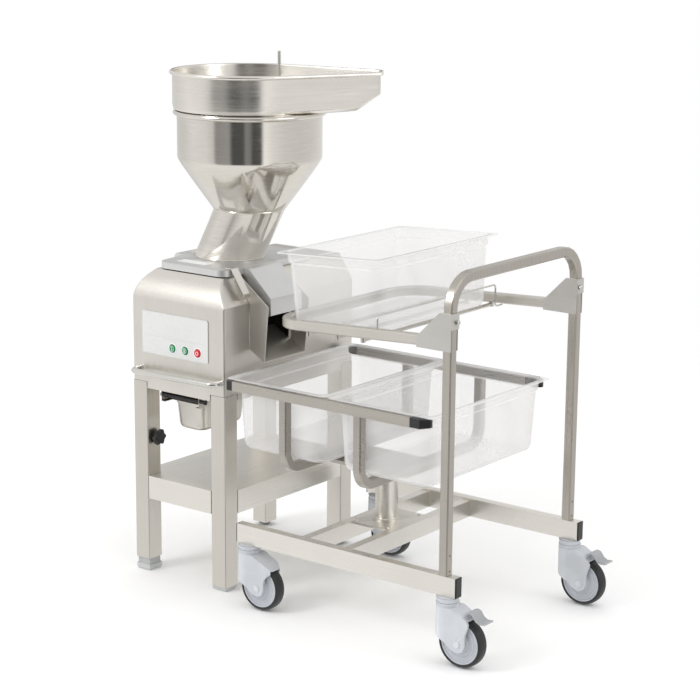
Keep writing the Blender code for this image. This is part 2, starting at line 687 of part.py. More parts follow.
def build_tray():
    loops = [
        round_loop(0.1870, TRAY_BOTTOM - 0.022),
        round_loop(0.1870, TRAY_BOTTOM),
        tray_loop(0.1900, 0.2850, 0.0300, TRAY_BOTTOM, TRAY_BOTTOM),
        tray_loop(0.1960, 0.2920, 0.0330, TRAY_BOTTOM + 0.004, TRAY_BOTTOM + 0.004),
        tray_loop(TRAY_R, TRAY_LENGTH, TRAY_END, 1.2680, 1.3000),
        tray_loop(TRAY_R, TRAY_LENGTH, TRAY_END, 1.3470, 1.3470),
        tray_loop(TRAY_R + 0.0060, TRAY_LENGTH + 0.0060, TRAY_END + 0.006, 1.3490, 1.3490),
        tray_loop(TRAY_R + 0.0080, TRAY_LENGTH + 0.0080, TRAY_END + 0.008, 1.3540, 1.3540),
        tray_loop(TRAY_R + 0.0050, TRAY_LENGTH + 0.0050, TRAY_END + 0.005, TRAY_RIM, TRAY_RIM),
        tray_loop(TRAY_R - 0.0020, TRAY_LENGTH - 0.0020, TRAY_END - 0.002, TRAY_RIM - 0.001,
                  TRAY_RIM - 0.001),
        tray_loop(TRAY_R - 0.0020, TRAY_LENGTH - 0.0020, TRAY_END - 0.002, 1.2688, 1.3012),
        tray_loop(0.1945, 0.2905, 0.0315, TRAY_BOTTOM + 0.006, TRAY_BOTTOM + 0.006),
        tray_loop(0.1885, 0.2835, 0.0285, TRAY_BOTTOM + 0.0022, TRAY_BOTTOM + 0.0022),
        round_loop(0.1850, TRAY_BOTTOM + 0.0020),
        round_loop(0.1850, TRAY_BOTTOM - 0.022),
    ]
    tray = skin("feed_tray", loops, "polished", closed=True, smooth=True)
    set_origin(tray, (HOPPER_X, HOPPER_Y, TRAY_BOTTOM))


build_tray()


def build_stirrer():
    corners = [(HOPPER_X, HOPPER_Y, 1.020), (HOPPER_X, HOPPER_Y, 1.1500), (STIRRER_X, HOPPER_Y, 1.1500),
               (STIRRER_X, HOPPER_Y, STIRRER_TOP)]
    path = fillet(corners, (0.020, 0.020), 4)
    stirrer = wire("stirrer_arm", path, 0.0045, (0.0, 1.0, 0.0), "polished")
    set_origin(stirrer, (HOPPER_X, HOPPER_Y, 1.1500))


build_stirrer()


# ---------------------------------------------------------------- trolley
def build_base_frame():
    """Two hollow side rails, two cross members, a plate between them and the round column."""
    size_z = RAIL_Z1 - RAIL_Z0
    rails = []
    for label, y in (("near", NEAR_Y), ("far", FAR_Y)):
        half = TUBE / 2.0
        loops = []
        for inset, x in ((0.0, RAIL_X0), (0.0, RAIL_X1), (0.002, RAIL_X1), (0.002, RAIL_X0)):
            h, v = half - inset, size_z / 2.0 - inset
            cz = (RAIL_Z0 + RAIL_Z1) / 2.0
            loops.append([(x, y + a * h, cz + b * v) for a, b in ((-1, -1), (1, -1), (1, 1), (-1, 1))])
        rails.append(skin("trolley_base_frame" if label == "near" else "rail_far", loops,
                          "steel" if label == "near" else None, closed=True))
    frame = rails[0]
    ends = (NEAR_Y + TUBE / 2.0 - 0.001, FAR_Y - TUBE / 2.0 + 0.001)
    join(frame, box("cross_left", (0.5920, 0.6170), ends, (0.1705, 0.2155)))
    join(frame, box("cross_right", (0.7280, 0.7530), ends, (0.1705, 0.2155)))
    join(frame, box("column_plate", (0.6000, 0.7400), (0.1700, 0.3350), (0.2090, 0.2150)))
    profile = [(0.2100, 0.0), (0.2100, 0.0360), (0.2200, 0.0360), (0.2200, 0.0300), (0.3616, 0.0300),
               (0.3616, 0.0)]
    join(frame, lathe("column", profile, (0.6680, 0.2475, 0.0), "z", 32))
    join(frame, rails[1])


build_base_frame()


def build_plug(name, x_end, outward, y, z_mid, half_y, half_z, wall):
    """Black plug with a flat cap and a stub inside the tube end."""
    stub_y, stub_z = half_y - wall - 0.0005, half_z - wall - 0.0005
    stations = [(-0.015, stub_y, stub_z), (CLEAR, stub_y, stub_z), (CLEAR, half_y, half_z),
                (0.0025, half_y, half_z), (0.0040, half_y - 0.002, half_z - 0.002)]
    loops = [[(x_end + outward * x, y + a * hy, z_mid + b * hz) for a,
              b in ((-1, -1), (1, -1), (1, 1), (-1, 1))]
             for x, hy, hz in stations]
    return skin(name, loops, "black")


RAIL_MID = (RAIL_Z0 + RAIL_Z1) / 2.0
for plug_side, plug_y in (("near", NEAR_Y), ("far", FAR_Y)):
    build_plug("rail_plug_%s_left" % plug_side, RAIL_X0, -1.0, plug_y, RAIL_MID, TUBE / 2.0, 0.025, 0.002)
    build_plug("rail_plug_%s_right" % plug_side, RAIL_X1, 1.0, plug_y, RAIL_MID, TUBE / 2.0, 0.025, 0.002)


def build_pan_frame():
    """Two bars under the pan rims, carried by two U tubes on a plate over the column."""
    half = TUBE / 2.0
    mid = BAR_Z0 + half
    loops = {}
    for label, y in (("near", BAR_NEAR_Y), ("far", BAR_FAR_Y)):
        loops[label] = []
        for inset, x in ((0.0, BAR_X0), (0.0, BAR_X1[label]), (0.002, BAR_X1[label]), (0.002, BAR_X0)):
            h = half - inset
            loops[label].append([(x, y + a * h, mid + b * h) for a,
                                 b in ((-1, -1), (1, -1), (1, 1), (-1, 1))])
    frame = skin("pan_frame", loops["near"], "steel", closed=True)
    low = 0.3825
    for k, x in enumerate(U_PLANES):
        corners = [(x, BAR_NEAR_Y, BAR_Z0 + 0.001), (x, BAR_NEAR_Y, low), (x, BAR_FAR_Y, low),
                   (x, BAR_FAR_Y, BAR_Z0 + 0.001)]
        path = fillet(corners, (0.047, 0.047), 6)
        loops_u = sweep_loops(path, square(TUBE - 0.0004), Vector((1.0, 0.0, 0.0)))
        join(frame, skin("u_tube_%d" % k, loops_u))
    join(frame, box("head_plate", (0.5350, 0.7850), (0.1700, 0.3350), (0.3620, 0.3715)))
    join(frame, skin("bar_far", loops["far"], closed=True))


build_pan_frame()


def build_bar_cap(name, x_end, outward, y, reach, chamfer_to):
    """Black cap over a bar end, chamfered towards the outside of the trolley."""
    half = TUBE / 2.0
    mid = BAR_Z0 + half
    stub = half - 0.0025
    outside = -1.0 if y < 0.2 else 1.0
    sections = [(-0.015, stub, stub, 0.0), (CLEAR, stub, stub, 0.0), (CLEAR, half, half, 0.0),
                (reach, half, half, 0.0),
                (chamfer_to, half, half - 0.003, 0.016)]
    loops = []
    for x, hy, hz, trim in sections:
        edges = (y - outside * hy, y + outside * (hy - trim))
        pts = [(edges[0], -hz), (edges[1], -hz), (edges[1], hz), (edges[0], hz)]
        loops.append([(x_end + outward * x, py, mid + pz) for py, pz in pts])
    return skin(name, loops, "black")


for cap_side, cap_y in (("near", BAR_NEAR_Y), ("far", BAR_FAR_Y)):
    build_bar_cap("bar_cap_%s_left" % cap_side, BAR_X0, -1.0, cap_y, 0.018, 0.030)
    build_bar_cap("bar_cap_%s_right" % cap_side, BAR_X1[cap_side], 1.0, cap_y, 0.030, 0.051)


def pan_loops(x0, y0, rim, depth):
    """Outer wall, stacking step, flat rim and inner wall of a gastronorm pan."""
    x1, y1 = x0 + PAN_L, y0 + PAN_W
    base = rim - depth
    stations = [(base, 0.040, 0.030), (base + 0.002, 0.0310, 0.036), (base + 0.008, 0.0245, 0.040),
                (base + 0.022, 0.0222, 0.042), (rim - 0.030, 0.0185, 0.034), (rim - 0.024, 0.0152, 0.032),
                (rim - 0.0028, 0.0150, 0.028), (rim - 0.0028, 0.0006, 0.016), (rim - 0.0015, 0.0, 0.016),
                (rim, 0.0012, 0.016), (rim, 0.0162, 0.026), (rim - 0.003, 0.0176, 0.026),
                (rim - 0.0235, 0.0178, 0.030), (rim - 0.030, 0.0210, 0.032), (base + 0.022, 0.0247, 0.040),
                (base + 0.010, 0.0268, 0.038), (base + 0.0045, 0.0325, 0.034),
                (base + 0.0025, 0.0415, 0.028)]
    return [rounded(x0 + i, x1 - i, y0 + i, y1 - i, r, z, 3) for z, i, r in stations]


PAN_DEPTH = 0.187
for pan_name, pan_x in (("pan_left", 0.3430), ("pan_right", 0.6720)):
    pan = skin(pan_name, pan_loops(pan_x, -0.0185, LOW_RIM, PAN_DEPTH), "clear", smooth=True)
    set_origin(pan, (pan_x + PAN_L / 2.0, 0.2465, LOW_RIM))


def tilt_about(point):
    return Matrix.Translation(point) @ Matrix.Rotation(-SHELF_TILT, 4,
                                                       "Y") @ Matrix.Translation(-Vector(point))


TOP_PAN_X = 0.5060
TOP_RIM = 0.9475
SHELF_REF = (0.6675, 0.2475, 0.7610)
top_pan = skin("pan_top", pan_loops(TOP_PAN_X, -0.0185, TOP_RIM, PAN_DEPTH), "clear", smooth=True)
top_pan.data.transform(tilt_about((TOP_PAN_X + PAN_L / 2.0, 0.2465, TOP_RIM)))
set_origin(top_pan, (TOP_PAN_X + PAN_L / 2.0, 0.2465, TOP_RIM))


PIN_Z = 0.8400
PIN_YS = {"near": NEAR_Y + 0.005, "far": FAR_Y - 0.005}


def build_push_handle():
    corners = [(UPRIGHT_X, NEAR_Y, RAIL_Z1 + CLEAR), (UPRIGHT_X, NEAR_Y, HANDLE_TOP - TUBE / 2.0),
               (UPRIGHT_X, FAR_Y, HANDLE_TOP - TUBE / 2.0), (UPRIGHT_X, FAR_Y, RAIL_Z1 + CLEAR)]
    hoop = tube("push_handle", fillet(corners, (0.0750, 0.0750), 6), TUBE, 0.002, (1.0, 0.0, 0.0), "steel")
    for side, y in PIN_YS.items():
        cut(hoop, rod_tool("hoop_hole_" + side, (UPRIGHT_X + TUBE / 2.0, y, PIN_Z), "x", 0.012, 0.0036, 12))


build_push_handle()

SHELF_X0 = 0.5095
SHELF_X1 = 1.0340
SHELF_MID_Z = 0.7609 + TUBE / 2.0


def build_top_shelf():
    """The tilted loop of square tube with three cross rods under the top pan."""
    x0 = SHELF_X0 + TUBE / 2.0
    corners = [(SHELF_X1, NEAR_Y, SHELF_MID_Z), (x0, NEAR_Y, SHELF_MID_Z), (x0, FAR_Y, SHELF_MID_Z),
               (SHELF_X1, FAR_Y, SHELF_MID_Z)]
    loop = tube("top_shelf", fillet(corners, (0.0750, 0.0750), 6), TUBE, 0.002, (0.0, 0.0, 1.0), "steel")
    for k, x in enumerate((0.6280, 0.7190, 0.7970)):
        rod_z = SHELF_MID_Z - TUBE / 2.0 - 0.0062
        rod = rod_tool("cross_rod_%d" % k, (x, (NEAR_Y + FAR_Y) / 2.0, rod_z), "y",
                       FAR_Y - NEAR_Y + 0.004, 0.0050, 10)
        for stud_name, y in (("near", NEAR_Y), ("far", FAR_Y)):
            join(rod,
                 rod_tool("stud_%s_%d" % (stud_name, k), (x, y, rod_z + 0.0010), "z", 0.0140, 0.0060, 10))
        join(loop, rod)
    rods = [step.object for step in loop.modifiers]
    studs = [step.object for rod in rods for step in rod.modifiers]
    for part in [loop] + rods + studs:
        part.data.transform(tilt_about(SHELF_REF))


build_top_shelf()


def build_bracket(side, y):
    """Gusset bracket folded round the loop's end and the upright, with its locking pin."""
    half = TUBE / 2.0
    face = UPRIGHT_X + half
    plate = [(0.9650, 0.7710), (0.9650, 0.7970), (1.0310, 0.8620), (face + 0.0030, 0.8620),
             (face + 0.0030, 0.8240),
             (face, 0.8220), (face, 0.7710)]
    bracket = prism_y("bracket_" + side, plate, y - half - 0.0024, y + half + 0.0024, "bracket")
    room = (y - half - CLEAR, y + half + CLEAR)
    cut(bracket, box("room_slope_" + side, (0.9500, face + CLEAR), room, (0.7735, 0.9000)))
    cut(bracket, box("room_upright_" + side, (1.0350, face + CLEAR), room, (0.7500, 0.9000)))
    pin_y = PIN_YS[side]
    cut(bracket, rod_tool("pin_hole_" + side, (face, pin_y, PIN_Z), "x", 0.020, 0.0036, 12))
    profile = [(-0.0080, 0.0), (-0.0080, 0.0030), (0.0036, 0.0030), (0.0036, 0.0062), (0.0086, 0.0062),
               (0.0100, 0.0045), (0.0100, 0.0)]
    pin = lathe("bracket_pin_" + side, profile, (face, pin_y, PIN_Z), "x", 12, "polished")
    set_origin(pin, (face, pin_y, PIN_Z))


for side_name, side_y in (("near", NEAR_Y), ("far", FAR_Y)):
    build_bracket(side_name, side_y)


def build_wire_stop():
    """Wire stop behind the top pan: one foot on the near bar, the other hooked back beside the far bar."""
    x = 0.8400
    foot = SHELF_MID_Z + TUBE / 2.0 + (x - SHELF_REF[0]) * math.tan(SHELF_TILT) + 0.0012
    corners = [(x, NEAR_Y, foot), (x, NEAR_Y, 0.8260), (x, 0.4780, 0.8260), (x, 0.4780, 0.7680),
               (x, 0.5110, 0.7680)]
    stop = wire("wire_stop", fillet(corners, (0.010, 0.010, 0.010), 4), 0.0024, (1.0, 0.0, 0.0),
                "polished", 8)
    set_origin(stop, (x, NEAR_Y, foot))


build_wire_stop()


# ---------------------------------------------------------------- casters
FORK_BACK = [(-0.0290, 0.1480), (-0.0290, 0.0860), (-0.0180, 0.0740), (0.0080, 0.0620), (0.0290, 0.0460),
             (0.0455, 0.0410), (0.0600, 0.0460), (0.0660, 0.0600), (0.0665, 0.0780)]
FORK_NOSE = [(0.0690, 0.0900), (0.0780, 0.1010), (0.0880, 0.1070), (0.0880, 0.1140), (0.0800, 0.1230),
             (0.0660, 0.1315), (0.0460, 0.1400), (0.0300, 0.1480)]
FORK_NOSE_BRAKED = [(0.0670, 0.0880), (0.0700, 0.0980), (0.0740, 0.1080), (0.0750, 0.1170),
                    (0.0700, 0.1270),
                    (0.0600, 0.1330), (0.0460, 0.1400), (0.0300, 0.1480)]
FORK_HALF_PLAN = [(0.0900, 0.0080), (0.0860, 0.0190), (0.0740, 0.0255), (0.0300, 0.0275), (0.0110, 0.0280),
                  (0.0, 0.0290), (-0.0110, 0.0268), (-0.0205, 0.0205), (-0.0268, 0.0110)]
PEDAL_SIDE = [(0.0610, 0.1375), (0.0665, 0.1460), (0.0752, 0.1495), (0.0846, 0.1470), (0.0948, 0.1335),
              (0.1043, 0.1280), (0.1200, 0.1295), (0.1200, 0.1250), (0.1027, 0.1235), (0.0921, 0.1290),
              (0.0826, 0.1420), (0.0752, 0.1448), (0.0697, 0.1415), (0.0645, 0.1340)]


def build_caster(name, x, y, braked):
    """Swivel fork with a hooded top and collar, wheel with its axle and, on the right, a brake pedal."""
    side = FORK_BACK + (FORK_NOSE_BRAKED if braked else FORK_NOSE)
    fork = prism_y("caster_fork_" + name, [(x + dx, z) for dx, z in side], y - 0.0350, y + 0.0350,
                   "grey", True)
    plan = FORK_HALF_PLAN + [(-0.0290, 0.0)] + [(dx, -dy) for dx, dy in FORK_HALF_PLAN[::-1]]
    combine(fork, prism_z("fork_plan_" + name, [(x + dx, y + dy) for dx, dy in plan], 0.030, 0.160),
            "INTERSECT")
    collar = [(0.1450, 0.0), (0.1450, 0.0284), (0.1565, 0.0284), (0.1575, 0.0276), (0.1682, 0.0276),
              (0.1696, 0.0262), (0.1696, 0.0)]
    join(fork, lathe("collar_" + name, collar, (x, y, 0.0), "z", 24))
    axle = (x + TRAIL, y, WHEEL_R)
    cut(fork, rod_tool("wheel_room_" + name, axle, "y", 0.0370, 0.0665, 40))
    cut(fork, rod_tool("axle_hole_" + name, axle, "y", 0.0800, 0.0066, 16))
    set_origin(fork, (x, y, 0.1500))
    half = [(0.0262, 0.0), (0.0262, 0.0060), (0.0158, 0.0060), (0.0158, 0.0220), (0.0100, 0.0240),
            (0.0100, 0.0440),
            (0.0150, 0.0540), (0.0125, 0.0602), (0.0060, WHEEL_R)]
    profile = half + [(-a, r) for a, r in half[::-1]]
    wheel = lathe("caster_wheel_" + name, profile, axle, "y", 28, "rubber")
    set_origin(wheel, axle)
    if braked:
        brake = prism_y("brake_pedal_" + name, [(x + dx, z) for dx, z in PEDAL_SIDE], y - 0.0190,
                        y + 0.0190, "grey")
        set_origin(brake, (x + 0.0640, y, 0.1360))


for col_name, col_x in zip(("left", "right"), CASTER_XS):
    for row_name, row_y in zip(("near", "far"), CASTER_YS):
        build_caster(row_name + "_" + col_name, col_x, row_y, col_name == "right")


# The row's origin sits under the front left foot.
for placed in bpy.context.scene.objects:
    placed.location.x -= LEG / 2.0
    placed.location.y -= LEG / 2.0
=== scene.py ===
"""Looks of the vegetable cutting machine and its pan trolley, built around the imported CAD."""

import math

import bmesh
import bpy
from mathutils import Matrix, Vector


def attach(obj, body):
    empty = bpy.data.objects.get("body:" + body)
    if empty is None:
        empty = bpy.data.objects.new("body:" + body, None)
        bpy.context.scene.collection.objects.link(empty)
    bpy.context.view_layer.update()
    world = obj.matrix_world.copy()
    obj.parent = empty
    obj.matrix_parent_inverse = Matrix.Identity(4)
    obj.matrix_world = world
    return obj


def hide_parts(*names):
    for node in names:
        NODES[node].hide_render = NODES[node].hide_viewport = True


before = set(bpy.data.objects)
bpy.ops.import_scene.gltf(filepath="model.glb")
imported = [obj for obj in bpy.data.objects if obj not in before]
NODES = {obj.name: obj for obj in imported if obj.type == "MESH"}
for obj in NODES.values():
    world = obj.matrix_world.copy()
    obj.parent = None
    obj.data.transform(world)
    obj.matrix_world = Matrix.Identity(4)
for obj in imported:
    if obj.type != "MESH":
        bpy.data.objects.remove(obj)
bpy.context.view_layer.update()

# The drawing is laid out from the stand's front left corner; the row's origin is under its foot.
SHIFT = Vector((-0.025, -0.025, 0.0))


# ---------------------------------------------------------------- materials
class Nodes:
    """A short way to wire shader nodes."""

    def __init__(self, name):
        self.mat = bpy.data.materials.new(name)
        self.mat.use_nodes = True
        self.tree = self.mat.node_tree
        self.shader = self.tree.nodes["Principled BSDF"]
        self.out = self.tree.nodes["Material Output"]
        self.coords = self.add("ShaderNodeTexCoord").outputs["Object"]

    def add(self, kind, **values):
        node = self.tree.nodes.new(kind)
        for key, value in values.items():
            setattr(node, key, value)
        return node

    def link(self, a, b):
        self.tree.links.new(a, b)

    def noise(self, scale, detail=3.0, rough=0.5, stretch=None, distort=0.0):
        tex = self.add("ShaderNodeTexNoise")
        tex.inputs["Scale"].default_value = scale
        tex.inputs["Detail"].default_value = detail
        tex.inputs["Roughness"].default_value = rough
        tex.inputs["Distortion"].default_value = distort
        source = self.coords
        if stretch:
            mapping = self.add("ShaderNodeMapping")
            mapping.inputs["Scale"].default_value = stretch
            self.link(self.coords, mapping.inputs["Vector"])
            source = mapping.outputs["Vector"]
        self.link(source, tex.inputs["Vector"])
        return tex.outputs["Fac"]

    def span(self, value, low, high, to_low, to_high):
        node = self.add("ShaderNodeMapRange")
        for key, number in (("From Min", low), ("From Max", high), ("To Min", to_low), ("To Max", to_high)):
            node.inputs[key].default_value = number
        self.link(value, node.inputs["Value"])
        return node.outputs["Result"]

    def math(self, kind, a, b):
        node = self.add("ShaderNodeMath", operation=kind)
        for slot, value in zip(node.inputs, (a, b)):
            if isinstance(value, (int, float)):
                slot.default_value = value
            else:
                self.link(value, slot)
        return node.outputs[0]

    def mix(self, factor, a, b, kind="MIX"):
        node = self.add("ShaderNodeMix", data_type="RGBA", blend_type=kind)
        for slot, value in zip((node.inputs[0], node.inputs[6], node.inputs[7]), (factor, a, b)):
            if isinstance(value, (int, float)):
                slot.default_value = value
            elif isinstance(value, tuple):
                slot.default_value = (*value, 1.0)
            else:
                self.link(value, slot)
        return node.outputs[2]

    def bump(self, height, strength, distance, normal=None):
        node = self.add("ShaderNodeBump")
        node.inputs["Strength"].default_value = strength
        node.inputs["Distance"].default_value = distance
        self.link(height, node.inputs["Height"])
        if normal is not None:
            self.link(normal, node.inputs["Normal"])
        return node.outputs["Normal"]

    def put(self, slot, value):
        socket = self.shader.inputs[slot]
        if isinstance(value, (int, float)):
            socket.default_value = value
        elif isinstance(value, tuple):
            socket.default_value = (*value, 1.0)
        else:
            self.link(value, socket)


def sheet_steel(name, colour, rough, grain, contrast=0.10, bump=0.05):
    """Brushed stainless: long fine scratches along the grain, broad smudges, and a painted highlight that
    lightens convex edges.
    """
    n = Nodes(name)
    streak = n.noise(1.0, 4.0, 0.65, grain)
    wide = n.noise(9.0, 3.0, 0.55)
    dark = tuple(c * (1.0 - contrast) for c in colour)
    light = tuple(min(c * (1.0 + contrast * 0.7), 1.0) for c in colour)
    base = n.mix(n.span(streak, 0.3, 0.7, 0.0, 1.0), dark, light)
    base = n.mix(n.span(wide, 0.45, 0.75, 0.0, 0.35), base, tuple(c * 0.86 for c in colour))
    # Painted highlight: convex edges (found by pointiness) get a lighter steel colour in place of light
    # caught along them.
    edge = n.span(n.add("ShaderNodeNewGeometry").outputs["Pointiness"], 0.505, 0.56, 0.0, 0.5)
    base = n.mix(edge, base, tuple(min(c * 1.25, 1.0) for c in colour))
    n.put("Base Color", base)
    n.put("Metallic", 1.0)
    r = n.math("ADD", n.span(streak, 0.25, 0.75, rough - 0.06, rough + 0.07),
               n.span(wide, 0.4, 0.8, 0.0, 0.07))
    n.put("Roughness", r)
    n.put("Normal", n.bump(streak, bump, 0.0006))
    return n.mat


def cast_metal(name, colour, rough):
    """Blasted cast aluminium: fine grain, soft mottling and a painted highlight on convex edges."""
    n = Nodes(name)
    fine = n.noise(900.0, 2.0, 0.6)
    mottle = n.noise(26.0, 4.0, 0.6)
    base = n.mix(n.span(mottle, 0.35, 0.7, 0.0, 1.0), tuple(c * 0.92 for c in colour), colour)
    # Painted highlight: convex edges (found by pointiness) get a lighter colour in place of light caught
    # along them.
    edge = n.span(n.add("ShaderNodeNewGeometry").outputs["Pointiness"], 0.505, 0.57, 0.0, 0.5)
    n.put("Base Color", n.mix(edge, base, tuple(min(c * 1.2, 1.0) for c in colour)))
    n.put("Metallic", 0.85)
    n.put("Roughness", n.span(mottle, 0.3, 0.7, rough - 0.05, rough + 0.07))
    n.put("Normal", n.bump(fine, 0.25, 0.0004))
    return n.mat


def moulded(name, colour, rough, grain_scale=1400.0, bump=0.15, depth=0.88):
    """Moulded plastic with a fine texture, faint flow variation and a painted highlight on convex edges."""
    n = Nodes(name)
    fine = n.noise(grain_scale, 2.0, 0.5)
    flow = n.noise(18.0, 3.0, 0.5)
    base = n.mix(n.span(flow, 0.35, 0.7, 0.0, 1.0), tuple(c * depth for c in colour), colour)
    # Painted highlight: convex edges (found by pointiness) get a lighter colour in place of light caught
    # along them.
    edge = n.span(n.add("ShaderNodeNewGeometry").outputs["Pointiness"], 0.51, 0.58, 0.0, 0.45)
    n.put("Base Color", n.mix(edge, base, tuple(min(c * 1.5 + 0.02, 1.0) for c in colour)))
    n.put("Roughness", n.span(flow, 0.3, 0.7, rough - 0.05, rough + 0.06))
    n.put("Normal", n.bump(fine, bump, 0.0003))
    return n.mat


def clear_plastic(name, tint, haze):
    """Clear polycarbonate: see-through face on, white and glossy at grazing angles, faint scuffs."""
    n = Nodes(name)
    scuff = n.noise(60.0, 5.0, 0.7)
    n.put("Base Color", tint)
    n.put("Roughness", n.span(scuff, 0.3, 0.8, 0.06, 0.10))
    through = n.add("ShaderNodeBsdfTransparent")
    through.inputs["Color"].default_value = (0.965, 0.962, 0.960, 1.0)
    weight = n.add("ShaderNodeLayerWeight")
    weight.inputs["Blend"].default_value = 0.32
    factor = n.math("ADD", n.span(weight.outputs["Facing"], 0.0, 1.0, haze, 0.62),
                    n.span(scuff, 0.5, 0.85, 0.0, 0.025))
    blend = n.add("ShaderNodeMixShader")
    n.link(factor, blend.inputs[0])
    n.link(through.outputs[0], blend.inputs[1])
    n.link(n.shader.outputs[0], blend.inputs[2])
    n.link(blend.outputs[0], n.out.inputs["Surface"])
    return n.mat


STEEL = (0.610, 0.582, 0.532)
M = {
    "steel_x": sheet_steel("steel_brushed_x", STEEL, 0.30, (6.0, 420.0, 420.0)),
    "steel_y": sheet_steel("steel_brushed_y", STEEL, 0.30, (420.0, 6.0, 420.0)),
    "steel_z": sheet_steel("steel_brushed_z", STEEL, 0.30, (420.0, 420.0, 6.0)),
    # Handle, bars, rails and shelf are the same brushed steel at other brightnesses: the darker handle and
    # bars are painted shade, the lighter rails and shelf painted light.
    "handle": sheet_steel("steel_handle", (0.47, 0.440, 0.395), 0.28, (420.0, 420.0, 6.0)),
    "bars": sheet_steel("steel_bars", (0.45, 0.424, 0.382), 0.28, (6.0, 420.0, 420.0)),
    "rails": sheet_steel("steel_rails", (0.76, 0.732, 0.680), 0.30, (6.0, 420.0, 420.0)),
    "shelf": sheet_steel("steel_shelf", (0.75, 0.724, 0.672), 0.30, (420.0, 6.0, 420.0)),
    "housing": sheet_steel("steel_housing", (0.700, 0.672, 0.624), 0.32, (260.0, 260.0, 5.0), 0.06, 0.03),
    "polished": sheet_steel("steel_polished", (0.700, 0.668, 0.615), 0.09, (20.0, 20.0, 300.0), 0.06, 0.03),
    "wire": sheet_steel("steel_wire", (0.62, 0.61, 0.58), 0.18, (300.0, 12.0, 300.0), 0.08, 0.03),
    "cast": cast_metal("cast_aluminium", (0.68, 0.680, 0.672), 0.40),
    "bracket": sheet_steel("steel_bracket", (0.56, 0.545, 0.515), 0.34, (6.0, 420.0, 420.0), 0.06, 0.03),
    "tray": sheet_steel("steel_tray_satin", (0.770, 0.738, 0.684), 0.21, (6.0, 6.0, 160.0), 0.04, 0.006),
    "black": moulded("plastic_black", (0.012, 0.012, 0.013), 0.30),
    "caster": moulded("plastic_caster_grey", (0.56, 0.58, 0.61), 0.38),
    "hub": moulded("plastic_hub_grey", (0.50, 0.52, 0.56), 0.40),
    "pedal": moulded("plastic_pedal_grey", (0.36, 0.37, 0.385), 0.36),
    "tyre": moulded("rubber_tyre", (0.016, 0.016, 0.018), 0.50, 700.0, 0.2),
    "foot": moulded("plastic_foot_pale", (0.46, 0.47, 0.47), 0.45),
    "label": moulded("label_white", (0.62, 0.625, 0.615), 0.28, 2000.0, 0.03, 0.97),
    "label_line": moulded("label_grey", (0.22, 0.24, 0.27), 0.35, 2000.0, 0.03),
    "green": moulded("key_green", (0.010, 0.230, 0.085), 0.22, 1800.0, 0.05),
    "red": moulded("key_red", (0.560, 0.016, 0.020), 0.22, 1800.0, 0.05),
    "mark": moulded("key_mark_white", (0.88, 0.88, 0.88), 0.35, 1800.0, 0.03),
    # Near-black for the upright's holes: painted shade standing in for the dark inside of a hole.
    "dark": moulded("painted_hole_shade", (0.030, 0.030, 0.032), 0.55),
    "motor": moulded("motor_enamel", (0.20, 0.22, 0.24), 0.45),
    "clear": clear_plastic("polycarbonate_clear", (0.93, 0.925, 0.92), 0.085),
    # Rim version of the clear plastic, hazier and whiter: a painted highlight for the bright lines along the
    # pan rims.
    "clear_rim": clear_plastic("polycarbonate_rim", (0.96, 0.96, 0.96), 0.34),
}


# ---------------------------------------------------------------- mesh helpers
def finish_mesh(name, bm, mat, body, node_names=(), smooth_angle=38.0):
    bmesh.ops.recalc_face_normals(bm, faces=bm.faces)
    for face in bm.faces:
        face.smooth = True
    mesh = bpy.data.meshes.new(name)
    bm.to_mesh(mesh)
    bm.free()
    mesh.set_sharp_from_angle(angle=math.radians(smooth_angle))
    obj = bpy.data.objects.new(name, mesh)
    bpy.context.scene.collection.objects.link(obj)
    mesh.materials.append(M[mat])
    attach(obj, body)
    if node_names:
        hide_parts(*node_names)
    return obj


def skin_into(bm, loops, closed=False, cap=True, shift=True):
    move = SHIFT if shift else Vector((0.0, 0.0, 0.0))
    rows = [[bm.verts.new(Vector(p) + move) for p in loop] for loop in loops]
    count = len(loops[0])
    pairs = list(zip(rows, rows[1:]))
    if closed:
        pairs.append((rows[-1], rows[0]))
    for a, b in pairs:
        for i in range(count):
            j = (i + 1) % count
            bm.faces.new((a[i], a[j], b[j], b[i]))
    if cap and not closed:
        bm.faces.new(rows[0][::-1])
        bm.faces.new(rows[-1])


def bevel_sharp(bm, width, segments, angle):
    edges = [e for e in bm.edges if len(e.link_faces) == 2 and e.calc_face_angle(0.0) > math.radians(angle)]
    if edges:
        bmesh.ops.bevel(bm, geom=edges, offset=width, segments=segments, profile=0.5, affect="EDGES",
                        clamp_overlap=True)


def refine(node, mat, body, bevel=0.0006, segments=2, angle=28.0, smooth_angle=38.0):
    """A finished stand-in for a CAD node: same form, flat faces merged, every sharp edge softly rounded."""
    bm = bmesh.new()
    bm.from_mesh(NODES[node].data)
    bmesh.ops.remove_doubles(bm, verts=bm.verts, dist=1e-5)
    bmesh.ops.dissolve_limit(bm, angle_limit=math.radians(0.8), verts=bm.verts, edges=bm.edges)
    bevel_sharp(bm, bevel, segments, angle)
    bmesh.ops.triangulate(bm, faces=[f for f in bm.faces if len(f.verts) > 4])
    obj = finish_mesh(node + "_finished", bm, mat, body, (node,), smooth_angle)
    even = obj.modifiers.new("flat_faces_stay_flat", "WEIGHTED_NORMAL")
    even.keep_sharp = True
    return obj


def ring(cx, cy, radius, z, count, stretch=1.0):
    step = 2.0 * math.pi / count
    return [(cx + stretch * radius * math.cos(i * step), cy + radius * math.sin(i * step),
             z) for i in range(count)]


def box_into(bm, x, y, z):
    low = [(x[0], y[0], z[0]), (x[1], y[0], z[0]), (x[1], y[1], z[0]), (x[0], y[1], z[0])]
    skin_into(bm, [low, [(px, py, z[1]) for px, py, _ in low]])


def rounded(x0, x1, y0, y1, radius, z, steps):
    points = []
    corners = ((x1 - radius, y1 - radius), (x0 + radius, y1 - radius),
               (x0 + radius, y0 + radius), (x1 - radius, y0 + radius))
    for k, (cx, cy) in enumerate(corners):
        for i in range(steps + 1):
            turn = (k + i / steps) * math.pi / 2.0
            points.append((cx + radius * math.cos(turn), cy + radius * math.sin(turn), z))
    return points


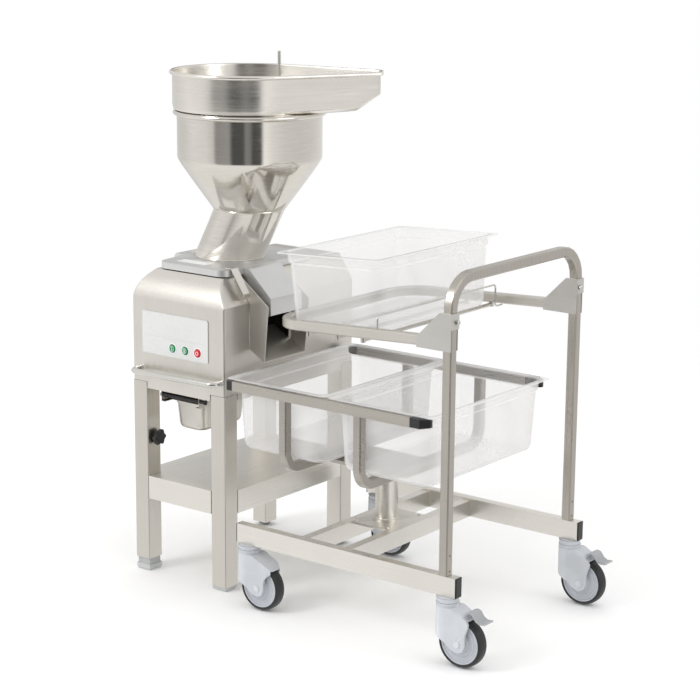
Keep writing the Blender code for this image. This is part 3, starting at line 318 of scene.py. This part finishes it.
def lathe_into(bm, profile, centre, axis, count, closed=False):
    """Turn (along, radius) pairs about an axis through the centre."""
    rows = []
    for along, radius in profile:
        row = []
        for i in range(1 if radius == 0.0 else count):
            turn = 2.0 * math.pi * i / count
            c, s = radius * math.cos(turn), radius * math.sin(turn)
            offset = {"x": (along, c, s), "y": (c, along, s), "z": (c, s, along)}[axis]
            row.append(bm.verts.new(Vector(centre) + Vector(offset) + SHIFT))
        rows.append(row)
    pairs = list(zip(rows, rows[1:]))
    if closed:
        pairs.append((rows[-1], rows[0]))
    for a, b in pairs:
        for i in range(count):
            j = (i + 1) % count
            if len(a) == 1:
                bm.faces.new((a[0], b[j], b[i]))
            elif len(b) == 1:
                bm.faces.new((a[i], a[j], b[0]))
            else:
                bm.faces.new((a[i], a[j], b[j], b[i]))


def roll(centre_along, centre_radius, radius, start, end, steps):
    """Profile points of a rolled edge, from one angle to another, as (along, radius)."""
    points = []
    for i in range(steps + 1):
        turn = math.radians(start + (end - start) * i / steps)
        points.append((centre_along + radius * math.sin(turn), centre_radius + radius * math.cos(turn)))
    return points


# ---------------------------------------------------------------- hopper and tray
TUBE_BASE = (0.140, 0.234, 0.8555)
TUBE_STRETCH = 1.06
NECK_X = 0.211
TUBE_R = 0.091
HOPPER = (0.214, 0.234)
HOPPER_R = 0.192
CONE_BOTTOM = 0.994
CONE_TOP = 1.128
FLANGE_TOP = 1.2540
TRAY_BOTTOM = FLANGE_TOP + 0.0004
TRAY_RIM = 1.358
TRAY_R = 0.198
TRAY_X = HOPPER[0] - 0.007
TRAY_TURN = math.radians(36.0)


def build_hopper():
    """Leaning tube, spun cone with soft transitions, cylinder and rolled flange."""
    count = 112
    cx, cy = HOPPER
    bx, by, bz = TUBE_BASE
    oval = TUBE_STRETCH + 0.01
    outer = []
    for i in range(7):
        t = i / 6.0
        z = bz + (CONE_BOTTOM - 0.006 - bz) * t
        outer.append((bx + (NECK_X - bx) * t, TUBE_R, z, TUBE_STRETCH))
    outer += [(NECK_X, TUBE_R + 0.0002, CONE_BOTTOM - 0.0045, oval),
              (NECK_X, TUBE_R + 0.0016, CONE_BOTTOM - 0.0030, oval),
              (NECK_X, TUBE_R + 0.0010, CONE_BOTTOM - 0.0012, oval),
              (NECK_X, TUBE_R + 0.0030, CONE_BOTTOM, oval)]
    for i in range(1, 9):
        t = i / 9.0
        outer.append((NECK_X + (cx - NECK_X) * t, TUBE_R + 0.003 + (HOPPER_R - TUBE_R - 0.003) * t,
                      CONE_BOTTOM + (CONE_TOP - CONE_BOTTOM - 0.002) * t, oval + (1.0 - oval) * t))
    outer += [(cx, HOPPER_R - 0.0030, CONE_TOP - 0.0050, 1.0), (cx, HOPPER_R - 0.0008, CONE_TOP, 1.0),
              (cx, HOPPER_R, CONE_TOP + 0.005, 1.0)]
    for z in (1.150, 1.175, 1.200, 1.222):
        outer.append((cx, HOPPER_R, z, 1.0))
    outer.append((cx, HOPPER_R + 0.0005, FLANGE_TOP - 0.0135, 1.0))
    for along, radius in roll(FLANGE_TOP - 0.006, 0.1968, 0.0060, -100.0, 90.0, 10):
        outer.append((cx, radius, along, 1.0))
    inner = [(cx, HOPPER_R - 0.0020, FLANGE_TOP - 0.0005, 1.0),
             (cx, HOPPER_R - 0.0022, FLANGE_TOP - 0.010, 1.0),
             (cx, HOPPER_R - 0.0022, CONE_TOP + 0.004, 1.0),
             (NECK_X, TUBE_R + 0.0010, CONE_BOTTOM + 0.001, oval),
             (NECK_X, TUBE_R - 0.0010, CONE_BOTTOM - 0.003, oval), (bx, TUBE_R - 0.0020, bz, TUBE_STRETCH)]
    loops = [ring(x, cy, r, z, count, wide) for x, r, z, wide in outer + inner]
    bm = bmesh.new()
    skin_into(bm, loops, closed=True)
    return finish_mesh("feed_hopper_spun", bm, "polished", "head", ("feed_hopper",), 50.0)


SIDE_SPOTS = (0.10, 0.20, 0.30, 0.40, 0.50, 0.60, 0.70, 0.76, 0.77, 0.78, 0.84, 0.92)
RAMP = 0.060
ARC_STEPS = 72


def teardrop(radius, length, end, corner):
    tip = length - corner
    half = end - corner
    lean = math.atan2(half, tip)
    open_angle = lean + math.acos((radius - corner) / math.hypot(tip, half))
    points = []
    for i in range(ARC_STEPS + 1):
        turn = open_angle + (2.0 * math.pi - 2.0 * open_angle) * i / ARC_STEPS
        points.append((radius * math.cos(turn), radius * math.sin(turn)))
    low = (tip + corner * math.cos(open_angle), -(half + corner * math.sin(open_angle)))
    x0, y0 = points[-1]
    side = [(x0 + (low[0] - x0) * t, y0 + (low[1] - y0) * t) for t in SIDE_SPOTS]
    nose = []
    for i in range(8):
        turn = -open_angle + open_angle * i / 7.0
        nose.append((tip + corner * math.cos(turn), -half + corner * math.sin(turn)))
    lower = side + nose
    return points + lower + [(x, -y) for x, y in lower[::-1]]


def tray_loop(grow, length, end, z_round, z_tip, radius=TRAY_R):
    loop = []
    for x, y in teardrop(radius + grow, length + grow, end + grow, 0.014):
        t = min(max((x - length - grow + RAMP) / RAMP, 0.0), 1.0)
        z = z_round + (z_tip - z_round) * t
        loop.append((TRAY_X + x * math.cos(TRAY_TURN) - y * math.sin(TRAY_TURN),
                     HOPPER[1] + x * math.sin(TRAY_TURN) + y * math.cos(TRAY_TURN), z))
    return loop


def round_loop(radius, z):
    loop = []
    for x, y in teardrop(TRAY_R, 0.350, 0.035, 0.014):
        turn = math.atan2(y, x) + TRAY_TURN
        loop.append((HOPPER[0] + radius * math.cos(turn), HOPPER[1] + radius * math.sin(turn), z))
    return loop


def build_tray():
    """Teardrop tray with a rolled rim, a chamfered foot and a spigot into the hopper."""
    b = TRAY_BOTTOM
    loops = [round_loop(0.1866, b - 0.022), round_loop(0.1866, b + 0.0002),
             tray_loop(0.0, 0.2850, 0.0300, b, b, 0.1900),
             tray_loop(0.0, 0.2910, 0.0325, b + 0.0025, b + 0.0025, 0.1955),
             tray_loop(-0.0008, 0.3500, 0.0350, 1.2650, 1.2985),
             tray_loop(0.0, 0.3500, 0.0350, 1.2690, 1.3015),
             tray_loop(0.0, 0.3500, 0.0350, 1.3040, 1.3190), tray_loop(0.0, 0.3500, 0.0350, 1.3460, 1.3460)]
    rim_z, rim_r = TRAY_RIM - 0.0055, 0.0026
    for i in range(9):
        turn = math.radians(-115.0 + 205.0 * i / 8.0)
        grow = rim_r + 0.0054 * math.cos(turn)
        z = rim_z + 0.0054 * math.sin(turn)
        loops.append(tray_loop(grow, 0.3500, 0.0350, z, z))
    loops += [tray_loop(-0.0012, 0.3500, 0.0350, TRAY_RIM - 0.0015, TRAY_RIM - 0.0015),
              tray_loop(-0.0020, 0.3500, 0.0350, TRAY_RIM - 0.006, TRAY_RIM - 0.006),
              tray_loop(-0.0020, 0.3500, 0.0350, 1.2700, 1.3025),
              tray_loop(-0.0030, 0.3500, 0.0350, 1.2670, 1.3005),
              tray_loop(0.0, 0.2900, 0.0310, b + 0.0050, b + 0.0050, 0.1940),
              tray_loop(0.0, 0.2835, 0.0285, b + 0.0022, b + 0.0022, 0.1885),
              round_loop(0.1850, b + 0.0018),
              round_loop(0.1846, b - 0.022)]
    bm = bmesh.new()
    skin_into(bm, loops, closed=True)
    return finish_mesh("feed_tray_rolled", bm, "tray", "tray", ("feed_tray",), 50.0)


build_hopper()
build_tray()
refine("stirrer_arm", "wire", "stirrer", 0.0008, 1, 40.0)


# ---------------------------------------------------------------- pans
def pan_loops(x0, y0, rim, depth, steps):
    x1, y1 = x0 + 0.325, y0 + 0.530
    base = rim - depth
    stations = [(base, 0.060, 0.024), (base, 0.0410, 0.030), (base + 0.0006, 0.0352, 0.034),
                (base + 0.0030, 0.0300, 0.037),
                (base + 0.0080, 0.0258, 0.040), (base + 0.0150, 0.0236, 0.041),
                (base + 0.0240, 0.0222, 0.042),
                (rim - 0.0300, 0.0186, 0.034), (rim - 0.0275, 0.0172, 0.033), (rim - 0.0250, 0.0155, 0.032),
                (rim - 0.0060, 0.0151, 0.028), (rim - 0.0030, 0.0146, 0.028), (rim - 0.0028, 0.0030, 0.017),
                (rim - 0.0027, 0.0006, 0.016), (rim - 0.0012, 0.0, 0.016), (rim - 0.0002, 0.0008, 0.016),
                (rim, 0.0022, 0.017), (rim, 0.0155, 0.026), (rim - 0.0012, 0.0172, 0.026),
                (rim - 0.0040, 0.0178, 0.026),
                (rim - 0.0232, 0.0180, 0.030), (rim - 0.0265, 0.0196, 0.031), (rim - 0.0300, 0.0212, 0.032),
                (base + 0.0240, 0.0247, 0.040), (base + 0.0160, 0.0258, 0.038),
                (base + 0.0095, 0.0282, 0.037),
                (base + 0.0050, 0.0328, 0.034), (base + 0.0028, 0.0420, 0.028),
                (base + 0.0026, 0.060, 0.022)]
    return [rounded(x0 + i, x1 - i, y0 + i, y1 - i, r, z, steps) for z, i, r in stations]


def build_pan(node, body, x0, rim, tilt):
    bm = bmesh.new()
    skin_into(bm, pan_loops(x0, -0.0185, rim, 0.187, 9))
    if tilt:
        middle = Vector((x0 + 0.1625, 0.2465, rim)) + SHIFT
        turn = Matrix.Translation(middle) @ Matrix.Rotation(-tilt, 4, "Y") @ Matrix.Translation(-middle)
        bmesh.ops.transform(bm, matrix=turn, verts=bm.verts)
    obj = finish_mesh(node + "_moulded", bm, "clear", body, (node,), 60.0)
    obj.data.materials.append(M["clear_rim"])
    # The rim and a line at the ledge below it get the whiter rim material: painted highlight along the rims.
    for face in obj.data.polygons:
        middle = face.center
        local = middle.z + math.tan(tilt) * -(middle.x - (x0 + 0.1375))
        if local > rim - 0.0045 or abs(local - (rim - 0.0275)) < 0.0018:
            face.material_index = 1


build_pan("pan_left", "left_pan", 0.3430, 0.5937, 0.0)
build_pan("pan_right", "right_pan", 0.6720, 0.5937, 0.0)
build_pan("pan_top", "upper_pan", 0.5060, 0.9475, math.radians(2.65))


def build_drip_pan():
    cx, cy = 0.1565, 0.135
    stations = [(0.4090, 0.0340, 0.074, 0.018), (0.4092, 0.0380, 0.078, 0.020),
                (0.4112, 0.0424, 0.0824, 0.022),
                (0.4160, 0.0455, 0.0855, 0.024), (0.4220, 0.0468, 0.0868, 0.024),
                (0.4770, 0.0496, 0.0896, 0.020),
                (0.4790, 0.0508, 0.0908, 0.018), (0.4862, 0.0510, 0.0910, 0.018),
                (0.4864, 0.0590, 0.0990, 0.018),
                (0.4874, 0.0600, 0.1000, 0.018), (0.4884, 0.0592, 0.0992, 0.018),
                (0.4885, 0.0510, 0.0910, 0.018),
                (0.4870, 0.0497, 0.0897, 0.017), (0.4230, 0.0452, 0.0852, 0.022),
                (0.4170, 0.0440, 0.0840, 0.022),
                (0.4128, 0.0410, 0.0810, 0.020), (0.4110, 0.0360, 0.0760, 0.018),
                (0.4108, 0.0330, 0.0730, 0.016)]
    bm = bmesh.new()
    skin_into(bm, [rounded(cx - a, cx + a, cy - b, cy + b, r, z, 7) for z, a, b, r in stations])
    finish_mesh("drip_pan_pressed", bm, "housing", "drip_tray", ("drip_pan",), 50.0)


build_drip_pan()


# ---------------------------------------------------------------- casters
def build_caster(name, x, y, braked):
    """Thin black tyre on a pale dished rim, axle, hooded fork with bosses and, if braked, a pedal."""
    wheel_body = "wheel_" + name
    axle = (x + 0.0455, y, 0.0625)
    tyre = bmesh.new()
    half = [(0.0120, 0.0530), (0.0148, 0.0536), (0.0160, 0.0552), (0.0160, 0.0572), (0.0146, 0.0594),
            (0.0118, 0.0611), (0.0085, 0.0620), (0.0048, 0.0624), (0.0015, 0.0625)]
    lathe_into(tyre, half + [(-a, r) for a, r in half[::-1]], axle, "y", 72, closed=True)
    finish_mesh("tyre_" + name, tyre, "tyre", wheel_body, ("caster_wheel_" + name,), 40.0)
    hub = bmesh.new()
    web = [(0.0135, 0.0532), (0.0146, 0.0524), (0.0148, 0.0506), (0.0136, 0.0494), (0.0112, 0.0478),
           (0.0106, 0.0440),
           (0.0104, 0.0400), (0.0120, 0.0384), (0.0122, 0.0364), (0.0106, 0.0350), (0.0104, 0.0280),
           (0.0112, 0.0250),
           (0.0148, 0.0228), (0.0156, 0.0210), (0.0158, 0.0075)]
    lathe_into(hub, [(-a, r) for a, r in web[::-1]] + web, axle, "y", 72, closed=True)
    finish_mesh("hub_" + name, hub, "hub", wheel_body, (), 30.0)
    axle_bm = bmesh.new()
    pin = [(-0.0262, 0.0), (-0.0262, 0.0050), (-0.0254, 0.0060), (0.0254, 0.0060), (0.0262, 0.0050),
           (0.0262, 0.0)]
    lathe_into(axle_bm, pin, axle, "y", 24)
    finish_mesh("axle_" + name, axle_bm, "wire", wheel_body, (), 30.0)
    fork_body = "caster_" + name
    refine("caster_fork_" + name, "caster", fork_body, 0.0022, 3, 32.0, 50.0)
    nuts = bmesh.new()
    for face in (-1.0, 1.0):
        start = Vector(axle) + Vector((0.0, face * 0.0277, 0.0))
        disc = [(-face * 0.0006, 0.0), (-face * 0.0006, 0.0086), (face * 0.0007, 0.0085),
                (face * 0.0012, 0.0078),
                (face * 0.0012, 0.0)]
        lathe_into(nuts, disc, start, "y", 28)
    finish_mesh("fork_bosses_" + name, nuts, "caster", fork_body, (), 30.0)
    seam = bmesh.new()
    for z in (0.1567, 0.1680):
        groove = [(z, 0.0272), (z + 0.0003, 0.0287), (z + 0.0007, 0.0287), (z + 0.0010, 0.0272)]
        lathe_into(seam, groove, (x, y, 0.0), "z", 48, closed=True)
    finish_mesh("collar_seams_" + name, seam, "label_line", fork_body, (), 30.0)
    if braked:
        refine("brake_pedal_" + name, "pedal", "pedal_" + name, 0.0014, 3, 25.0, 50.0)


for column, cx in (("left", 0.4345), ("right", 1.0600)):
    for row, cy in (("near", -0.0321), ("far", 0.5265)):
        build_caster(row + "_" + column, cx, cy, column == "right")


# ---------------------------------------------------------------- plain refined pieces
for corner in ("front_left", "front_right", "rear_left", "rear_right"):
    refine("leg_" + corner, "steel_z", "machine", 0.0003, 1, 40.0)
refine("lower_shelf", "shelf", "machine", 0.0009, 2)
refine("levelling_foot_left", "foot", "foot_left", 0.0008, 2)
refine("levelling_foot_right", "foot", "foot_right", 0.0008, 2)
refine("leg_wheel_left", "black", "rear_wheel_left", 0.0008, 2)
refine("leg_wheel_right", "black", "rear_wheel_right", 0.0008, 2)
refine("lock_knob", "black", "knob", 0.0012, 3, 35.0)
refine("underplate", "steel_y", "machine", 0.0003, 1)
refine("carry_handle", "wire", "machine", 0.0003, 1, 50.0)
refine("chamber_bowl", "cast", "machine", 0.0008, 2)
refine("motor", "motor", "machine", 0.0015, 2)
refine("discharge_chute", "housing", "machine", 0.0006, 2)
refine("drive_shaft", "cast", "rotor", 0.0006, 2)
refine("cutting_disc", "polished", "rotor", 0.0006, 2)
refine("trolley_base_frame", "rails", "trolley", 0.0012, 2)
refine("pan_frame", "bars", "trolley", 0.0012, 2)
refine("push_handle", "handle", "trolley", 0.0007, 2, 40.0, 30.0)
refine("top_shelf", "steel_x", "trolley", 0.0007, 2, 40.0, 30.0)
for side in ("near", "far"):
    refine("bracket_" + side, "bracket", "trolley", 0.0006, 2)
    refine("bracket_pin_" + side, "wire", "pin_" + side, 0.0006, 2)
    for end in ("left", "right"):
        refine("rail_plug_%s_%s" % (side, end), "black", "trolley", 0.0008, 2)
        refine("bar_cap_%s_%s" % (side, end), "black", "trolley", 0.0022, 3)
refine("wire_stop", "wire", "hoop", 0.0003, 1, 60.0, 50.0)
refine("lid_latch", "housing", "latch", 0.0005, 2)


refine("housing_shell", "housing", "machine", 0.0006, 2)
refine("head_lid", "cast", "head", 0.0016, 3, 28.0)
refine("control_panel", "label", "machine", 0.0006, 2)
for key, mat in (("low_speed", "green"), ("high_speed", "green"), ("stop", "red")):
    refine("button_" + key, mat, key + "_key", 0.0008, 3)


# ---------------------------------------------------------------- small fittings
def disc_set(name, spots, axis, mat, body, radius, proud, sides=20, smooth_angle=30.0):
    """Low round heads standing on a face: spots are centres on it, proud is the signed height on the axis."""
    bm = bmesh.new()
    for spot in spots:
        profile = [(-0.0008 * math.copysign(1.0, proud), 0.0),
                   (-0.0008 * math.copysign(1.0, proud), radius),
                   (proud * 0.55, radius), (proud, radius * 0.72), (proud, 0.0)]
        lathe_into(bm, profile, spot, axis, sides)
    return finish_mesh(name, bm, mat, body, (), smooth_angle)


def plate_outline(x0, x1, z0, z1, radius, y, steps=6):
    return [(x, y, z) for x, z, _ in rounded(x0, x1, z0, z1, radius, 0.0, steps)]


def build_label_print():
    """The front label's border line, field lines, key bezels and the plain marks on the keys."""
    bm = bmesh.new()
    y0, y1 = -0.00235, -0.00258
    outer, inner = (0.0378, 0.2687, 0.6153, 0.7282, 0.0060), (0.0387, 0.2678, 0.6162, 0.7273, 0.0052)
    skin_into(bm, [plate_outline(*outer, y0), plate_outline(*outer, y1), plate_outline(*inner, y1),
                   plate_outline(*inner, y0)], closed=True)
    box_into(bm, (0.0440, 0.2615), (y1, y0), (0.6640, 0.6646))
    finish_mesh("label_border", bm, "foot", "machine")
    keys = ((0.1460, "low_speed"), (0.1910, "high_speed"), (0.2350, "stop"))
    bezels = bmesh.new()
    for x, _ in keys:
        profile = [(-0.0022, 0.01135), (-0.0036, 0.0116), (-0.0040, 0.0128), (-0.0036, 0.0139),
                   (-0.0022, 0.0141)]
        lathe_into(bezels, profile, (x, 0.0, 0.639), "y", 40, closed=True)
    finish_mesh("key_bezels", bezels, "mark", "machine")
    for x, key in keys:
        mark = bmesh.new()
        face = (-0.0072, -0.0068)
        if key == "stop":
            profile = [(face[1], 0.0036), (face[0], 0.0037), (face[0], 0.0050), (face[1], 0.0051)]
            lathe_into(mark, profile, (x, 0.0, 0.639), "y", 28, closed=True)
        else:
            bars = (0.0,) if key == "low_speed" else (-0.0019, 0.0019)
            for shift in bars:
                box_into(mark, (x + shift - 0.0007, x + shift + 0.0007), face, (0.6345, 0.6435))
            lathe_into(mark, [(face[1], 0.0066), (face[0], 0.0067), (face[0], 0.0075), (face[1], 0.0076)],
                       (x, 0.0, 0.639), "y", 28, closed=True)
        finish_mesh("key_mark_" + key, mark, "mark", key + "_key")


def build_lid_plate():
    """Blank plate on the lid, in front of the tube."""
    bm = bmesh.new()
    top = 0.855
    skin_into(bm,
              [rounded(0.0900, 0.1900, 0.0800, 0.1120, 0.003, z, 4) for z in (top - 0.0002, top + 0.0006)])
    finish_mesh("lid_plate", bm, "mark", "head")


def build_grooved_rod():
    """Black rod across the runner, ringed along its length."""
    profile = [(-0.0790, 0.0), (-0.0790, 0.0058), (-0.0782, 0.0066), (-0.0764, 0.0066), (-0.0762, 0.0050),
               (-0.0680, 0.0050)]
    for k in range(24):
        start = -0.0670 + k * 0.0056
        profile += [(start, 0.0052), (start + 0.0010, 0.0063), (start + 0.0032, 0.0063),
                    (start + 0.0042, 0.0052)]
    profile += [(0.0680, 0.0050), (0.0762, 0.0050), (0.0764, 0.0066), (0.0782, 0.0066),
                (0.0790, 0.0058), (0.0790, 0.0)]
    profile = [(a, min(r, 0.0053) if 0.054 < abs(a) < 0.066 else r) for a, r in profile]
    bm = bmesh.new()
    lathe_into(bm, profile, (0.1630, 0.0200, 0.5020), "x", 28)
    finish_mesh("stop_rod_ringed", bm, "black", "machine", ("stop_rod",), 30.0)


def weld_into(bm, centre, radius, lump, count=72, stretch=1.0):
    """A thin, slightly uneven weld bead round a tube foot."""
    loops = []
    for i in range(count):
        turn = 2.0 * math.pi * i / count
        size = lump * (1.0 + 0.18 * math.sin(23.0 * turn) + 0.08 * math.sin(57.0 * turn))
        loop = []
        for k in range(6):
            a = 2.0 * math.pi * k / 6.0
            r = radius + size * math.cos(a)
            loop.append((centre[0] + stretch * r * math.cos(turn), centre[1] + r * math.sin(turn),
                         centre[2] + size * math.sin(a)))
        loops.append(loop)
    skin_into(bm, loops, closed=True)


def build_welds():
    column = bmesh.new()
    weld_into(column, (0.6680, 0.2475, 0.2206), 0.0306, 0.0016)
    finish_mesh("column_weld", column, "rails", "trolley")
    neck = bmesh.new()
    weld_into(neck, (0.1400, 0.2340, 0.8562), 0.0918, 0.0010, 96, TUBE_STRETCH)
    finish_mesh("tube_weld", neck, "polished", "head")


build_label_print()
build_lid_plate()
build_grooved_rod()
build_welds()
disc_set("rear_axle_heads", [(0.3250, 0.5180, 0.0200), (0.0500, 0.5180, 0.0200)], "x", "wire",
         "machine", 0.0032, 0.0014)
disc_set("rear_axle_heads_left", [(0.0, 0.5180, 0.0200), (0.2750, 0.5180, 0.0200)], "x", "wire",
         "machine", 0.0032,
         -0.0014)
HOOP_FACE = 1.0635
# Thin near-black discs on the upright near its foot: painted shade in place of its holes, not screw heads.
disc_set("upright_hole_shade_discs", [(HOOP_FACE, y, z) for y in (-0.0321, 0.5265) for z in (0.2310, 0.2700)],
         "x", "dark", "trolley",
         0.0024, 0.0004)
disc_set("plate_bolts", [(x, y, 0.2150) for x in (0.6160, 0.7220) for y in (0.1860, 0.3190)], "z",
         "wire", "trolley",
         0.0050, 0.0030, 6, 20.0)


# ---------------------------------------------------------------- stage, light and camera
def build_stage():
    bm = bmesh.new()
    for p in ((-14.0, -14.0, -0.0004), (14.0, -14.0, -0.0004), (14.0, 14.0, -0.0004),
              (-14.0, 14.0, -0.0004)):
        bm.verts.new(p)
    bm.verts.ensure_lookup_table()
    bm.faces.new(bm.verts)
    mesh = bpy.data.meshes.new("floor")
    bm.to_mesh(mesh)
    bm.free()
    floor = bpy.data.objects.new("floor", mesh)
    bpy.context.scene.collection.objects.link(floor)
    n = Nodes("floor_pale")
    n.put("Base Color", (1.0, 1.0, 0.998))
    n.put("Roughness", 0.85)
    reach = n.add("ShaderNodeVectorMath", operation="LENGTH")
    n.link(n.coords, reach.inputs[0])
    glow = n.add("ShaderNodeEmission")
    glow.inputs["Color"].default_value = (1.0, 1.0, 1.0, 1.0)
    fade = n.add("ShaderNodeMixShader")
    n.link(n.span(reach.outputs["Value"], 1.2, 3.2, 0.0, 1.0), fade.inputs[0])
    n.link(n.shader.outputs[0], fade.inputs[1])
    n.link(glow.outputs[0], fade.inputs[2])
    gone = n.add("ShaderNodeBsdfTransparent")
    rays = n.add("ShaderNodeLightPath")
    seen = n.add("ShaderNodeMixShader")
    n.link(rays.outputs["Is Glossy Ray"], seen.inputs[0])
    n.link(fade.outputs[0], seen.inputs[1])
    n.link(gone.outputs[0], seen.inputs[2])
    n.link(seen.outputs[0], n.out.inputs["Surface"])
    mesh.materials.append(n.mat)


def build_world():
    """Plain white surroundings; what the metal mirrors has the soft boxes and dark gaps of a studio."""
    world = bpy.data.worlds.new("studio")
    bpy.context.scene.world = world
    world.use_nodes = True
    tree = world.node_tree
    add = tree.nodes.new
    back = tree.nodes["Background"]
    out = tree.nodes["World Output"]
    back.inputs["Color"].default_value = (1.0, 1.0, 1.0, 1.0)
    back.inputs["Strength"].default_value = 1.0
    coords = add("ShaderNodeTexCoord")
    split = add("ShaderNodeSeparateXYZ")
    tree.links.new(coords.outputs["Generated"], split.inputs[0])
    turn = add("ShaderNodeMath")
    turn.operation = "ARCTAN2"
    tree.links.new(split.outputs["Y"], turn.inputs[0])
    tree.links.new(split.outputs["X"], turn.inputs[1])
    scaled = add("ShaderNodeMapRange")
    scaled.inputs["From Min"].default_value = -math.pi
    scaled.inputs["From Max"].default_value = math.pi
    tree.links.new(turn.outputs[0], scaled.inputs["Value"])
    ramp = add("ShaderNodeValToRGB")
    ramp.color_ramp.interpolation = "LINEAR"
    stops = ((0.0, 0.80), (0.08, 0.95), (0.16, 0.90), (0.195, 0.75), (0.21, 0.34), (0.27, 0.40),
             (0.285, 0.09),
             (0.335, 0.10), (0.345, 0.30), (0.365, 0.24), (0.375, 0.09), (0.41, 0.11), (0.425, 1.15),
             (0.46, 0.95),
             (0.52, 0.80), (0.60, 0.76), (0.66, 0.80), (0.74, 0.86), (0.84, 0.85), (0.855, 0.20),
             (0.875, 0.70),
             (1.0, 0.80))
    while len(ramp.color_ramp.elements) > 1:
        ramp.color_ramp.elements.remove(ramp.color_ramp.elements[0])
    ramp.color_ramp.elements[0].position = stops[0][0]
    ramp.color_ramp.elements[0].color = (stops[0][1],) * 3 + (1.0,)
    for where, value in stops[1:]:
        ramp.color_ramp.elements.new(where).color = (value,) * 3 + (1.0,)
    tree.links.new(scaled.outputs["Result"], ramp.inputs["Fac"])
    high = add("ShaderNodeMapRange")
    high.inputs["From Min"].default_value = 0.15
    high.inputs["From Max"].default_value = 0.75
    tree.links.new(split.outputs["Z"], high.inputs["Value"])
    blend = add("ShaderNodeMix")
    blend.data_type = "RGBA"
    tree.links.new(high.outputs["Result"], blend.inputs[0])
    tree.links.new(ramp.outputs["Color"], blend.inputs[6])
    blend.inputs[7].default_value = (0.85, 0.85, 0.85, 1.0)
    low = add("ShaderNodeMapRange")
    low.inputs["From Min"].default_value = -0.32
    low.inputs["From Max"].default_value = -0.62
    tree.links.new(split.outputs["Z"], low.inputs["Value"])
    under = add("ShaderNodeMix")
    under.data_type = "RGBA"
    tree.links.new(low.outputs["Result"], under.inputs[0])
    tree.links.new(blend.outputs[2], under.inputs[6])
    under.inputs[7].default_value = (0.98, 0.98, 0.97, 1.0)
    mirror = add("ShaderNodeBackground")
    mirror.inputs["Strength"].default_value = 1.0
    tree.links.new(under.outputs[2], mirror.inputs["Color"])
    path = add("ShaderNodeLightPath")
    chosen = add("ShaderNodeMixShader")
    tree.links.new(path.outputs["Is Glossy Ray"], chosen.inputs[0])
    tree.links.new(back.outputs[0], chosen.inputs[1])
    tree.links.new(mirror.outputs[0], chosen.inputs[2])
    tree.links.new(chosen.outputs[0], out.inputs["Surface"])


def build_light(name, place, target, size, power):
    data = bpy.data.lights.new(name, "AREA")
    data.shape = "DISK"
    data.size = size
    data.energy = power
    lamp = bpy.data.objects.new(name, data)
    bpy.context.scene.collection.objects.link(lamp)
    lamp.location = place
    lamp.rotation_euler = (Vector(target) - Vector(place)).to_track_quat("-Z", "Y").to_euler()


def build_camera():
    yaw, pitch, tilt = (math.radians(a) for a in (37.4804, 13.0025, 0.4725))
    ahead = Vector((-math.sin(yaw) * math.cos(pitch), math.cos(yaw) * math.cos(pitch), -math.sin(pitch)))
    right = ahead.cross(Vector((0.0, 0.0, 1.0))).normalized()
    up = right.cross(ahead)
    across = right * math.cos(tilt) + up * math.sin(tilt)
    upward = up * math.cos(tilt) - right * math.sin(tilt)
    data = bpy.data.cameras.new("camera")
    data.sensor_width = 36.0
    data.lens = 101.96
    camera = bpy.data.objects.new("camera", data)
    bpy.context.scene.collection.objects.link(camera)
    turn = Matrix((across, upward, -ahead)).transposed().to_4x4()
    camera.matrix_world = Matrix.Translation(Vector((3.6120, -3.7548, 1.8134)) + SHIFT) @ turn
    bpy.context.scene.camera = camera


build_stage()
build_world()
build_light("key_light", (-1.4, -3.6, 3.4), (0.5, 0.2, 0.7), 1.8, 60.0)
build_light("side_light", (4.2, 0.6, 2.6), (0.5, 0.2, 0.8), 2.2, 22.0)
build_camera()
bpy.context.scene.view_settings.view_transform = "Standard"
